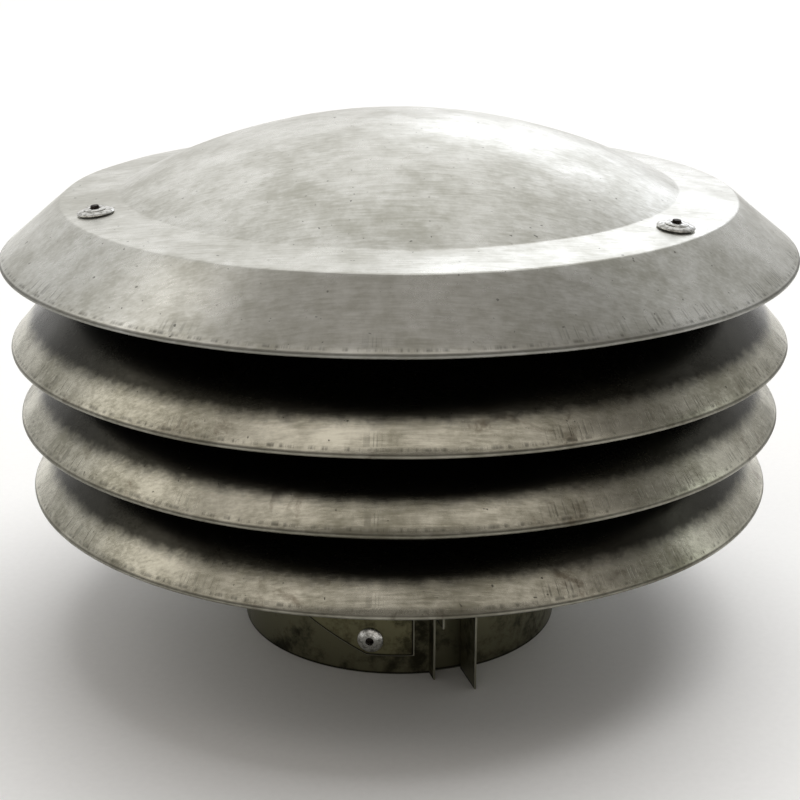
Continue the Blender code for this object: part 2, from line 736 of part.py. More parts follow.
def make_bracket():
    """Plate over the duct on three bent legs that stand on the pan's floor."""
    middle = BRACKET_BOTTOM + BRACKET_SHEET / 2
    foot = PAN_FLOOR + CONTACT_GAP + BRACKET_SHEET / 2
    bm = bmesh.new()
    bmesh.ops.create_cone(
        bm, cap_ends=True, segments=FACETS, radius1=BRACKET_PLATE, radius2=BRACKET_PLATE,
        depth=BRACKET_SHEET, matrix=Matrix.Translation((0, 0, middle)),
    )
    bracket = new_object("motor_bracket", mesh_from(bm, "motor_bracket"), PLATED)
    line = rounded(
        [
            (BRACKET_PLATE * 0.8, 0.0, middle),
            (LEG_RADIUS, 0.0, middle),
            (LEG_RADIUS, 0.0, foot),
            (LEG_RADIUS + FOOT_LENGTH, 0.0, foot),
        ],
        LEG_BEND,
    )
    holes = [((0, 0, middle), (0, 0, 1), BEARING_RADIUS, 8 * MM)]
    for index, azimuth in enumerate(LEG_AZIMUTHS, start=1):
        leg = cutter_object(f"leg_{index}", strip_mesh(f"leg_{index}", line, LEG_WIDTH, (0, 1, 0)))
        leg.rotation_euler = (0.0, 0.0, math.radians(azimuth))
        solidify(leg, BRACKET_SHEET, 0.0)
        boolean(bracket, leg, "UNION")
        holes.append((at(azimuth, FOOT_MIDDLE, foot), (0, 0, 1), SHEET_SCREW[2] + HOLE_GAP, 5 * MM))
        holes.append(motor_screw_hole(azimuth))
        pan_head_screw(
            f"bracket_screw_{index}", SHEET_SCREW[:2], SHEET_SCREW[2], SHEET_SCREW_LENGTH,
            at(azimuth, FOOT_MIDDLE, foot + BRACKET_SHEET / 2), (0, 0, 1),
        )
        pan_head_screw(
            f"motor_screw_{index}", SHEET_SCREW[:2], SHEET_SCREW[2], MOTOR_SCREW_LENGTH,
            at(azimuth, MOTOR_SCREW_CIRCLE, BRACKET_BOTTOM), (0, 0, -1),
        )
    drill(bracket, holes)


def motor_screw_hole(azimuth):
    """The hole for a screw that holds the motor on its bracket."""
    return at(azimuth, MOTOR_SCREW_CIRCLE, CAP_BOTTOM), (0, 0, 1), SHEET_SCREW[2] + HOLE_GAP, 20 * MM


make_bracket()


# Motor

POCKET = BEARING_RADIUS + CONTACT_GAP
SHAFT_HOLE = SHAFT_RADIUS + 1.5 * MM


def make_motor():
    """Shell, end cap, stator, two bearings, and the turning core and shaft."""
    pocket_floor = CAP_TOP - POCKET_DEPTH
    cap = turned(
        "motor_end_cap",
        [
            (POCKET, CAP_TOP), (MOTOR_RADIUS, CAP_TOP), (MOTOR_RADIUS, CAP_BOTTOM),
            (SHAFT_HOLE, CAP_BOTTOM), (SHAFT_HOLE, pocket_floor), (POCKET, pocket_floor),
        ],
        MOTOR_PAINT, steps=32, closed=True,
    )
    drill(cap, [motor_screw_hole(azimuth) for azimuth in LEG_AZIMUTHS])
    bore = MOTOR_RADIUS - MOTOR_WALL
    boss_top = UPPER_BEARING + BEARING_HEIGHT + MOTOR_WALL
    boss = POCKET + MOTOR_WALL
    turned(
        "motor_shell",
        [
            (0.0, boss_top), (boss, boss_top), (boss, SHELL_TOP), (MOTOR_RADIUS, SHELL_TOP),
            (MOTOR_RADIUS, SHELL_BOTTOM), (bore, SHELL_BOTTOM), (bore, UPPER_BEARING),
            (POCKET, UPPER_BEARING), (POCKET, boss_top - MOTOR_WALL + CONTACT_GAP),
            (0.0, boss_top - MOTOR_WALL + CONTACT_GAP),
        ],
        MOTOR_PAINT, steps=32,
    )
    ring("stator", STATOR_INNER, STATOR_OUTER, CORE_BOTTOM, CORE_HEIGHT, LAMINATION)
    core = ring(
        "rotor_core", SHAFT_RADIUS + RUN_GAP, STATOR_INNER - AIR_GAP, CORE_BOTTOM, CORE_HEIGHT, LAMINATION
    )
    ring("bearing_lower", SHAFT_RADIUS + RUN_GAP, BEARING_RADIUS, LOWER_BEARING, BEARING_HEIGHT, STEEL)
    ring("bearing_upper", SHAFT_RADIUS + RUN_GAP, BEARING_RADIUS, UPPER_BEARING, BEARING_HEIGHT, STEEL)
    chamfer = 0.5 * MM
    shaft = turned(
        "shaft",
        [
            (0.0, SHAFT_TOP), (SHAFT_RADIUS - chamfer, SHAFT_TOP), (SHAFT_RADIUS, SHAFT_TOP - chamfer),
            (SHAFT_RADIUS, SHAFT_BOTTOM + chamfer), (SHAFT_RADIUS - chamfer, SHAFT_BOTTOM),
            (0.0, SHAFT_BOTTOM),
        ],
        STEEL, steps=24,
    )
    return [core, shaft]


def ring(name, inner, outer, bottom, height, look):
    """A plain thick ring."""
    top = bottom + height
    return turned(name, [(inner, top), (outer, top), (outer, bottom), (inner, bottom)], look, 24, closed=True)


# Impeller

def blade_mesh(name):
    """A twisted blade, from inside the hub to the tip."""
    root = HUB_RADIUS * 0.8
    tip = COLLAR_BORE - BLADE_CLEARANCE
    bm = bmesh.new()
    bmesh.ops.create_grid(bm, x_segments=5, y_segments=4, size=0.5)
    for vertex in bm.verts:
        out = vertex.co.x + 0.5
        chord = vertex.co.y * BLADE_CHORD * (0.8 + 0.2 * out)
        radius = root + (tip - root) * out
        pitch = BLADE_PITCH + BLADE_TWIST * (1.0 - out)
        angle = chord * math.cos(pitch) / max(radius, HUB_RADIUS)
        camber = 0.06 * BLADE_CHORD * (1.0 - (2 * vertex.co.y) ** 2)
        height = HUB_TOP - HUB_HEIGHT * 0.48 + chord * math.sin(pitch) + camber
        vertex.co = (radius * math.cos(angle), radius * math.sin(angle), height)
    return mesh_from(bm, name)


def make_impeller():
    """Hub with a rounded nose and a set of twisted blades."""
    bore = SHAFT_RADIUS + RUN_GAP
    hub = turned(
        "impeller",
        [
            (bore, HUB_TOP), (HUB_RADIUS - 1.5 * MM, HUB_TOP), (HUB_RADIUS, HUB_TOP - 1.5 * MM),
            (HUB_RADIUS, HUB_BOTTOM + 3.5 * MM), (HUB_RADIUS - 3.5 * MM, HUB_BOTTOM), (bore, HUB_BOTTOM),
        ],
        NYLON, steps=30, closed=True,
    )
    for index in range(BLADE_COUNT):
        name = f"blade_{index + 1}"
        blade = cutter_object(name, blade_mesh(name))
        blade.rotation_euler = (0.0, 0.0, math.tau * index / BLADE_COUNT + math.radians(7.0))
        solidify(blade, BLADE_WALL, 0.0)
        boolean(hub, blade, "UNION")
    clip_radius, clip_height = CLIP
    clip = ring("impeller_clip", bore, clip_radius, CLIP_TOP - clip_height, clip_height, PLATED)
    return [hub, clip]


FAN_AXIS = empty_axis("fan_axis", (0.0, 0.0, HUB_TOP))
for turning_piece in make_motor() + make_impeller():
    hang_on(turning_piece, FAN_AXIS)


# Terminal box

def box_mesh(name, low, high):
    """A box between two corners."""
    low = Vector(low)
    high = Vector(high)
    size = high - low
    bm = bmesh.new()
    bmesh.ops.create_cube(bm, size=1.0)
    bmesh.ops.scale(bm, verts=bm.verts, vec=size)
    bmesh.ops.translate(bm, verts=bm.verts, vec=(low + high) / 2)
    return mesh_from(bm, name)


def make_terminal_box():
    """Box saddled on the motor's side, with a lid on its outer face and a gland below."""
    depth, width, height = BOX_SIZE
    bottom = SHELL_BOTTOM + BOX_LIFT
    inner_x = MOTOR_RADIUS * 0.8
    outer_x = MOTOR_RADIUS + depth
    turn = (0.0, 0.0, math.radians(BOX_AZIMUTH))
    box = new_object(
        "terminal_box",
        box_mesh("terminal_box", (inner_x, -width / 2, bottom), (outer_x, width / 2, bottom + height)),
        NYLON,
    )
    bm = bmesh.new()
    bmesh.ops.create_cone(
        bm, cap_ends=True, segments=48, radius1=MOTOR_RADIUS + CONTACT_GAP,
        radius2=MOTOR_RADIUS + CONTACT_GAP, depth=4 * height,
        matrix=Matrix.Translation((0, 0, bottom)),
    )
    saddle = cutter_object("terminal_box_saddle", mesh_from(bm, "terminal_box_saddle"))
    room = cutter_object(
        "terminal_box_room",
        box_mesh(
            "terminal_box_room",
            (MOTOR_RADIUS + BOX_WALL, -width / 2 + BOX_WALL, bottom + BOX_WALL),
            (outer_x + BOX_WALL, width / 2 - BOX_WALL, bottom + height - BOX_WALL),
        ),
    )
    lid = new_object(
        "terminal_lid",
        box_mesh(
            "terminal_lid",
            (outer_x + CONTACT_GAP, -width / 2, bottom),
            (outer_x + CONTACT_GAP + BOX_WALL, width / 2, bottom + height),
        ),
        NYLON,
    )
    for piece in (box, saddle, room, lid):
        piece.rotation_euler = turn
    boolean(box, saddle, "DIFFERENCE")
    boolean(box, room, "DIFFERENCE")
    middle_x = MOTOR_RADIUS + BOX_WALL + (depth - BOX_WALL) / 2
    centre = at(BOX_AZIMUTH, middle_x, bottom)
    drill(box, [(centre, (0, 0, 1), GLAND_NECK + CONTACT_GAP, 3 * BOX_WALL)])
    gland = turned(
        "cable_gland",
        [
            (GLAND_BORE, BOX_WALL + 1.5 * MM), (GLAND_NECK, BOX_WALL + 1.5 * MM), (GLAND_NECK, -CONTACT_GAP),
            (GLAND_FLANGE, -CONTACT_GAP), (GLAND_FLANGE, -4 * MM), (GLAND_FLANGE - 1.5 * MM, -4.5 * MM),
            (GLAND_NECK, -9 * MM), (GLAND_BORE, -9 * MM),
        ],
        NYLON, steps=18, closed=True,
    )
    gland.location = centre


make_terminal_box()
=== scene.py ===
"""Looks of a weathered louvred exhaust cowl with a small fan inside its duct collar.

Pieces are made in metres in the part's own frame: the collar's lower rim on z = 0, the axis along Z,
the side with the riveted seam plate towards -Y. Lengths below are in metres, written with MM.
"""

import math

import bmesh
import bpy
from mathutils import Matrix, Vector, noise


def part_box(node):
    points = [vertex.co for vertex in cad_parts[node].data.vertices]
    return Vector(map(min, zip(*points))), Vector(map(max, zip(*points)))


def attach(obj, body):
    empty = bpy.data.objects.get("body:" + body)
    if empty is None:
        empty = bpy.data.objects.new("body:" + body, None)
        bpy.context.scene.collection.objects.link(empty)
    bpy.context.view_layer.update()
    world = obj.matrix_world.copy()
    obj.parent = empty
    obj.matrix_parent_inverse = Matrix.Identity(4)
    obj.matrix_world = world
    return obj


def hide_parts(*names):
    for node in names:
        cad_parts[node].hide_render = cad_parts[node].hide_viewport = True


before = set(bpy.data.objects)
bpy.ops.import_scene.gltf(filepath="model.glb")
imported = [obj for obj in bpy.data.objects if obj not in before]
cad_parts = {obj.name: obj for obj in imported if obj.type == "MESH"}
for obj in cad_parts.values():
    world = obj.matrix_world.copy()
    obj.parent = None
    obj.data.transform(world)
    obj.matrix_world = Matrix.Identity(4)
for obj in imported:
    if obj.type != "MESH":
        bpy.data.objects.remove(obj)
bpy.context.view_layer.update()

MM = 0.001

# Sizes read from the frame
LID_LOW, LID_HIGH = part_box("lid")
COWL_RADIUS = LID_HIGH.x
LID_LIP = LID_LOW.z
LID_TOP = LID_HIGH.z
PAN_LOW, PAN_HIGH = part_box("base_pan")
CAGE_RADIUS = PAN_HIGH.x
COLLAR_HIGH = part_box("collar")[1]
COLLAR_RADIUS = COLLAR_HIGH.x
BAND_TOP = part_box("clamp_band")[1].z

# Sizes of the sheets
SHEET = 0.8 * MM
HEM = 0.75 * MM             # half the thickness of a folded lip
HEM_DEPTH = 4.0 * MM
SKIRT_RUN = 18.4 * MM
SKIRT_DROP = 16.3 * MM
FLAT_WIDTH = 17.1 * MM
FLAT_TILT = math.radians(6.0)
FLAT_RADIUS = COWL_RADIUS - SKIRT_RUN
FLAT_HEIGHT = LID_LIP + SKIRT_DROP
DOME_RADIUS = FLAT_RADIUS - FLAT_WIDTH
LOUVRE_SLOPE = math.radians(48.0)
PAN_HEIGHT = 48.6 * MM
PAN_NECK = COLLAR_RADIUS + 1.1 * MM
COLLAR_WALL = 0.6 * MM
CONTACT_GAP = 0.3 * MM
SIDES = 264                 # facets round a large turned sheet
ROW_STEP = 2.6 * MM         # spacing of mesh rows along a sheet
SHARP_ANGLE = math.radians(38.0)
FOLD_STEPS = 8              # facets round the half circle of a folded lip
SWAY = 0.16 * MM            # how far a hand-spun sheet strays from true

STRUT_AZIMUTHS = (-156.5, -36.5, 83.5)    # degrees; the lid rivets stand over the struts


# Shapes

def compass(azimuth):
    """The level direction at an azimuth in degrees."""
    angle = math.radians(azimuth)
    return Vector((math.cos(angle), math.sin(angle), 0.0))


def at(azimuth, radius, height):
    """The point at an azimuth in degrees, a radius and a height."""
    point = compass(azimuth) * radius
    point.z = height
    return point


def facing(point, direction):
    """A placement with its own +Z along a direction."""
    turn = Vector(direction).to_track_quat("Z", "Y").to_matrix().to_4x4()
    return Matrix.Translation(Vector(point)) @ turn


def bent(points, radii, steps=6):
    """A line whose inner corners are replaced by arcs of the given radii."""
    line = [Vector(points[0])]
    for before, corner, after, radius in zip(points, points[1:], points[2:], radii):
        corner = Vector(corner)
        back = (Vector(before) - corner).normalized()
        ahead = (Vector(after) - corner).normalized()
        half = back.angle(ahead) / 2
        reach = radius / math.tan(half)
        centre = corner + (back + ahead).normalized() * (radius / math.sin(half))
        start = (corner + back * reach - centre).normalized()
        end = (corner + ahead * reach - centre).normalized()
        for i in range(steps + 1):
            line.append(centre + start.slerp(end, i / steps) * radius)
    line.append(Vector(points[-1]))
    return line


def spaced(line, step):
    """The line with points added so that none are further apart than the step."""
    made = [line[0]]
    for a, b in zip(line, line[1:]):
        count = max(1, math.ceil((b - a).length / step))
        for i in range(1, count + 1):
            made.append(a.lerp(b, i / count))
    return made


def lengths(line):
    """Distance of each point from the line's end, along the line."""
    found = [0.0]
    for a, b in zip(reversed(line[:-1]), reversed(line[1:])):
        found.append(found[-1] + (b - a).length)
    return list(reversed(found))


def inward(line, wall):
    """The line moved by a wall's thickness to its inner side."""
    made = []
    for i, point in enumerate(line):
        before = line[max(i - 1, 0)]
        after = line[min(i + 1, len(line) - 1)]
        along = (after - before).normalized()
        made.append(point + Vector((along.y, -along.x)) * wall)
    return made


def skin(name, rows, looks, edge=None, inner=None, ring_rows=False, caps=False):
    """A mesh over rows of points; inner rows take the second material, edge is stored for the shader."""
    bm = bmesh.new()
    made = [[bm.verts.new(point) for point in row] for row in rows]
    pairs = list(zip(made, made[1:]))
    if ring_rows:
        pairs.append((made[-1], made[0]))
    for index, (upper, lower) in enumerate(pairs):
        count = max(len(upper), len(lower))
        for i in range(count):
            j = (i + 1) % count
            corners = [
                upper[i % len(upper)], lower[i % len(lower)],
                lower[j % len(lower)], upper[j % len(upper)],
            ]
            face = bm.faces.new(list(dict.fromkeys(corners)))
            if inner and index >= inner:
                face.material_index = 1
    if caps:
        bm.faces.new(made[0])
        bm.faces.new(made[-1])
    bmesh.ops.recalc_face_normals(bm, faces=bm.faces)
    mesh = bpy.data.meshes.new(name)
    bm.to_mesh(mesh)
    bm.free()
    if edge:
        stored = mesh.attributes.new("edge_mm", "FLOAT", "POINT")
        values = []
        for value, row in zip(edge, rows):
            values += value if isinstance(value, list) else [value] * len(row)
        stored.data.foreach_set("value", [value / MM for value in values])
    for look in looks:
        mesh.materials.append(look)
    mesh.shade_smooth()
    mesh.set_sharp_from_angle(angle=SHARP_ANGLE)
    obj = bpy.data.objects.new(name, mesh)
    bpy.context.scene.collection.objects.link(obj)
    return obj


def stand_for(obj, body, slot, *nodes):
    """Let a piece ride on a body in place of CAD nodes."""
    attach(obj, body)
    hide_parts(*nodes)
    return obj


def hand_worked(point, reach):
    """A point of spun sheet moved a little, as hand spinning and knocks leave it."""
    push = noise.noise(point * 38.0) * 0.16 * MM
    push += noise.noise(point * 95.0 + Vector((7, 3, 1))) * 0.05 * MM
    angle = math.atan2(point.y, point.x)
    sway = math.sin(3 * angle + 0.7) + 0.7 * math.sin(5 * angle + 2.1) + 0.4 * math.sin(9 * angle + 4.0)
    out = Vector((point.x, point.y, 0.0))
    if out.length:
        out.normalize()
    lift = push + sway * SWAY * reach * reach
    return point + out * push * reach + Vector((0, 0, lift))


def turned_rows(section, sides, worn=0.0):
    """Rows of a turned sheet: one ring of points for each point of its section."""
    rows = []
    for point in section:
        if point.x < 0.01 * MM:
            rows.append([Vector((0.0, 0.0, point.y))])
            continue
        ring = []
        for i in range(sides):
            angle = math.tau * i / sides
            place = Vector((point.x * math.cos(angle), point.x * math.sin(angle), point.y))
            if worn:
                place = hand_worked(place, worn * min(1.0, point.x / COWL_RADIUS) ** 4)
            ring.append(place)
        rows.append(ring)
    return rows


def hem_end(radius, height, along):
    """Where a sheet's outer skin ends so that its folded lip just reaches a radius and a height."""
    inside = Vector((along.y, -along.x))
    return Vector((radius - HEM * (1 + inside.x), height + HEM * (1 - inside.y)))


def hemmed(outer, wall):
    """Section of a sheet with its lower edge folded under, and each point's distance from the lip."""
    along = (outer[-1] - outer[-2]).normalized()
    inside = Vector((along.y, -along.x))
    centre = outer[-1] + inside * HEM
    fold = []
    for i in range(1, FOLD_STEPS):
        angle = math.pi * i / FOLD_STEPS
        fold.append(centre - inside * HEM * math.cos(angle) + along * HEM * math.sin(angle))
    under = outer[-1] + inside * 2 * HEM
    fold.append(under)
    fold.append(under - along * HEM_DEPTH)
    fold.append(outer[-1] + inside * wall - along * (HEM_DEPTH + 0.1 * MM))
    far = lengths(outer)
    back = [point for point, distance in zip(inward(outer, wall), far) if distance > HEM_DEPTH + 0.6 * MM]
    section = outer + fold + list(reversed(back))
    edge = far + [0.0] * (len(section) - len(outer))
    return section, edge, len(outer) + FOLD_STEPS - 1


def plain_sheet(outer, wall):
    """Closed section of a sheet with rounded edges, and the distance of each point from its lower edge."""
    inner = inward(outer, wall)
    low = (outer[-1] + inner[-1]) / 2 + (outer[-1] - outer[-2]).normalized() * wall * 0.4
    high = (outer[0] + inner[0]) / 2 + (outer[0] - outer[1]).normalized() * wall * 0.4
    section = outer + [low] + list(reversed(inner)) + [high]
    far = lengths(outer)
    return section, far + [0.0] + list(reversed(far)) + [far[0]], len(outer)


def lathe(name, profile, looks, sides=40, inner=None, placement=None, ring_rows=False):
    """A small turned piece from (radius, height) pairs in millimetres."""
    section = [Vector((radius * MM, height * MM)) for radius, height in profile]
    obj = skin(name, turned_rows(section, sides), looks, inner=inner, ring_rows=ring_rows)
    if placement:
        obj.matrix_world = placement
    return obj


def strap(name, line, across, looks, lows, highs, wall):
    """A flat strip swept along a line, its width between lows and highs, with small round edges."""
    across = Vector(across)
    insets = (wall * 0.3, 0.5 * MM, 1.2 * MM)
    from_end = lengths(line)
    rows = []
    edge = []
    for i, point in enumerate(line):
        along = (line[min(i + 1, len(line) - 1)] - line[max(i - 1, 0)]).normalized()
        thick = along.cross(across) * (wall / 2)
        near_low = [across * (lows[i] + inset) for inset in insets]
        near_high = [across * (highs[i] - inset) for inset in reversed(insets)]
        face = near_low + near_high
        row = [point + step - thick for step in face]
        row += [point + across * highs[i] - thick * 0.4, point + across * highs[i] + thick * 0.4]
        row += [point + step + thick for step in reversed(face)]
        row += [point + across * lows[i] + thick * 0.4, point + across * lows[i] - thick * 0.4]
        rows.append(row)
        end = min(from_end[i], from_end[0] - from_end[i])
        reach = [min(inset, end) for inset in insets]
        edge.append(reach + reach[::-1] + [0.0, 0.0] + reach + reach[::-1] + [0.0, 0.0])
    return skin(name, rows, looks, edge, caps=True)


# Materials

def linear(code, alpha=1.0):
    """An sRGB hex colour as linear numbers."""
    channels = [int(code[i:i + 2], 16) / 255 for i in (0, 2, 4)]
    return tuple(c / 12.92 if c <= 0.04045 else ((c + 0.055) / 1.055) ** 2.4 for c in channels) + (alpha,)


def add(tree, kind, sources=None, **settings):
    """Add a shader node: settings are its own, sources give its inputs a value or another socket."""
    made = tree.nodes.new(f"ShaderNode{kind}")
    for name, value in settings.items():
        setattr(made, name, value)
    for name, value in (sources or {}).items():
        if isinstance(value, bpy.types.NodeSocket):
            tree.links.new(value, made.inputs[name])
        else:
            made.inputs[name].default_value = value
    return made


def start_finish(name, **uniform):
    """A material with one Principled shader whose uniform values are set on its own sockets."""
    made = bpy.data.materials.new(name)
    made.use_nodes = True
    shader = made.node_tree.nodes["Principled BSDF"]
    for socket, value in uniform.items():
        shader.inputs[socket.replace("_", " ")].default_value = value
    return made, made.node_tree, shader


def per(size_mm):
    """Texture scale, in metres of object space, for features of a size in millimetres."""
    return 1000.0 / size_mm


# Painted shade on the louvres' inner slopes, standing in for the shadow cast by the sheet above
SHADE_FROM_LIP = 8.0             # distance from the lip in mm, with up to 5 mm of mottling on top
SHADE_FULL_LIP = 13.5


def spun_aluminium(name, bright, dull, stain, stain_from, smooth, rough, inner_shade_amount=0.0):
    """Spun aluminium sheet, weathered outdoors: satin, with clouded oxide, wiping streaks and pits.

    Blooms of oxide are 26 mm across, mottling 3.6 mm, stains 15 mm, wiping streaks 9 by 0.8 mm,
    pits 1.5 mm and grit 0.55 mm. Chuck marks, 1 mm apart, and grime in the fold lie within 6 mm of
    the lip, where the last 0.4 mm is darkened as painted shade. With inner_shade_amount set, painted shade
    darkens the sheet from about 5 to 11 mm in, standing in for the shadow cast by the sheet above.
    """
    made, tree, shader = start_finish(name, Metallic=1.0, Anisotropic=0.35)
    place = add(tree, "TexCoord").outputs["Object"]
    bloom = add(tree, "TexNoise", {"Vector": place, "Scale": per(26), "Detail": 5.0, "Roughness": 0.62})
    mottle = add(tree, "TexNoise", {"Vector": place, "Scale": per(3.6), "Detail": 5.0, "Roughness": 0.68})
    grit = add(tree, "TexNoise", {"Vector": place, "Scale": per(0.55), "Detail": 2.0})
    wiped = add(
        tree, "Mapping",
        {
            "Vector": place, "Rotation": (0.0, 0.0, math.radians(-38.0)),
            "Scale": (per(9), per(0.8), per(0.8)),
        },
    )
    streak = add(
        tree, "TexNoise", {"Vector": wiped.outputs[0], "Scale": 1.0, "Detail": 3.0, "Roughness": 0.6},
    )
    lip = add(tree, "Attribute", attribute_name="edge_mm", attribute_type="GEOMETRY").outputs["Fac"]
    level = add(tree, "VectorMath", {0: place, 1: (1.0, 1.0, 0.0)}, operation="MULTIPLY")
    around = add(tree, "VectorMath", {0: level.outputs[0]}, operation="NORMALIZE").outputs[0]

    # colour of the metal: oxide blooms from dull to bright, broken by mottling and streaks
    veil = add(tree, "Math", {0: mottle.outputs["Fac"], 1: streak.outputs["Fac"]}, operation="ADD")
    veil = add(tree, "Math", {0: veil.outputs[0], 1: 0.5, 2: 0.0}, operation="MULTIPLY_ADD")
    cloud = add(tree, "Mix", {0: 0.45, 2: bloom.outputs["Fac"], 3: veil.outputs[0]}, data_type="FLOAT")
    cloud = add(
        tree, "MapRange", {"Value": cloud.outputs[0], "From Min": 0.36, "From Max": 0.64},
        interpolation_type="SMOOTHSTEP",
    ).outputs[0]
    metal = add(tree, "Mix", {0: cloud, 6: linear(dull), 7: linear(bright)}, data_type="RGBA").outputs[2]

    # brown water stains
    soak = add(
        tree, "TexNoise",
        {"Vector": place, "Scale": per(15), "Detail": 6.0, "Roughness": 0.7, "Distortion": 0.6},
    )
    soak = add(
        tree, "MapRange",
        {
            "Value": soak.outputs["Fac"], "From Min": stain_from, "From Max": stain_from + 0.16,
            "To Max": 0.6,
        },
        interpolation_type="SMOOTHSTEP",
    ).outputs[0]
    metal = add(tree, "Mix", {0: soak, 6: metal, 7: linear(stain)}, data_type="RGBA").outputs[2]

    # painted shade, thicker towards the inside, standing in for the shadow cast by the sheet above
    inside = add(tree, "Math", {0: mottle.outputs["Fac"], 1: 5.0, 2: lip}, operation="MULTIPLY_ADD")
    inside = add(
        tree, "MapRange",
        {"Value": inside.outputs[0], "From Min": SHADE_FROM_LIP, "From Max": SHADE_FULL_LIP, "To Max": inner_shade_amount},
        interpolation_type="SMOOTHSTEP",
    ).outputs[0]
    metal = add(tree, "Mix", {0: inside, 6: metal, 7: linear("15140f")}, data_type="RGBA").outputs[2]

    # dark pits, sparse over the sheet
    pit = add(tree, "TexNoise", {"Vector": place, "Scale": per(1.5), "Detail": 1.0})
    pit = add(
        tree, "MapRange",
        {"Value": pit.outputs["Fac"], "From Min": 0.745, "From Max": 0.79, "To Max": 0.6},
        interpolation_type="SMOOTHSTEP",
    ).outputs[0]

    # dirt in the fold above the lip, in broken dashes, and chuck marks in patches above that
    dash = add(tree, "TexNoise", {"Vector": around, "Scale": 62.0, "Detail": 3.0, "Roughness": 0.7})
    dash = add(
        tree, "MapRange", {"Value": dash.outputs["Fac"], "From Min": 0.47, "From Max": 0.62},
    ).outputs[0]
    fold_low = add(tree, "MapRange", {"Value": lip, "From Min": 0.5, "From Max": 1.0}).outputs[0]
    fold_high = add(tree, "MapRange", {"Value": lip, "From Min": 2.1, "From Max": 1.2}).outputs[0]
    fold = add(tree, "Math", {0: fold_low, 1: fold_high}, operation="MULTIPLY").outputs[0]
    fold = add(tree, "Math", {0: fold, 1: dash}, operation="MULTIPLY").outputs[0]
    tick = add(tree, "TexNoise", {"Vector": around, "Scale": 150.0, "Detail": 1.0})
    tick = add(
        tree, "MapRange", {"Value": tick.outputs["Fac"], "From Min": 0.55, "From Max": 0.62},
    ).outputs[0]
    patch = add(tree, "TexNoise", {"Vector": around, "Scale": 3.1, "Detail": 2.0})
    patch = add(
        tree, "MapRange", {"Value": patch.outputs["Fac"], "From Min": 0.5, "From Max": 0.58},
    ).outputs[0]
    band_low = add(tree, "MapRange", {"Value": lip, "From Min": 1.6, "From Max": 2.2}).outputs[0]
    band_high = add(tree, "MapRange", {"Value": lip, "From Min": 6.5, "From Max": 4.0}).outputs[0]
    chuck = add(tree, "Math", {0: band_low, 1: band_high}, operation="MULTIPLY").outputs[0]
    chuck = add(tree, "Math", {0: chuck, 1: tick}, operation="MULTIPLY").outputs[0]
    chuck = add(tree, "Math", {0: chuck, 1: patch}, operation="MULTIPLY").outputs[0]

    dirt_and_lip_shade = add(tree, "Math", {0: fold, 1: 0.5}, operation="MULTIPLY").outputs[0]
    dirt_and_lip_shade = add(tree, "Math", {0: dirt_and_lip_shade, 1: pit}, operation="MAXIMUM").outputs[0]
    marks = add(tree, "Math", {0: chuck, 1: 0.35}, operation="MULTIPLY").outputs[0]
    dirt_and_lip_shade = add(tree, "Math", {0: dirt_and_lip_shade, 1: marks}, operation="MAXIMUM").outputs[0]
    # painted shade: the last 0.4 mm at the lip is darkened, dimming the fold's reflection and standing in
    # for the shadow under the lip
    rim = add(tree, "MapRange", {"Value": lip, "From Min": 0.4, "From Max": 0.0, "To Max": 0.6}).outputs[0]
    dirt_and_lip_shade = add(tree, "Math", {0: dirt_and_lip_shade, 1: rim}, operation="MAXIMUM").outputs[0]
    colour = add(tree, "Mix", {0: dirt_and_lip_shade, 6: metal, 7: linear("2b2a24")}, data_type="RGBA").outputs[2]
    tree.links.new(colour, shader.inputs["Base Color"])

    dull_part = add(tree, "Mix", {0: cloud, 2: rough, 3: smooth}, data_type="FLOAT").outputs[0]
    sheen = add(
        tree, "Math", {0: mottle.outputs["Fac"], 1: 0.12, 2: dull_part}, operation="MULTIPLY_ADD",
    ).outputs[0]
    sheen = add(tree, "Math", {0: dirt_and_lip_shade, 1: 0.25, 2: sheen}, operation="MULTIPLY_ADD").outputs[0]
    tree.links.new(sheen, shader.inputs["Roughness"])

    relief = add(
        tree, "Math", {0: streak.outputs["Fac"], 1: 0.6, 2: mottle.outputs["Fac"]},
        operation="MULTIPLY_ADD",
    )
    relief = add(
        tree, "Math", {0: grit.outputs["Fac"], 1: 0.35, 2: relief.outputs[0]}, operation="MULTIPLY_ADD",
    )
    relief = add(tree, "Math", {0: chuck, 1: -1.2, 2: relief.outputs[0]}, operation="MULTIPLY_ADD")
    bump = add(tree, "Bump", {"Height": relief.outputs[0], "Distance": 0.02 * MM, "Strength": 0.7})
    tree.links.new(bump.outputs[0], shader.inputs["Normal"])
    tangent = add(tree, "Tangent", direction_type="RADIAL", axis="Z")
    tree.links.new(tangent.outputs[0], shader.inputs["Tangent"])
    return made


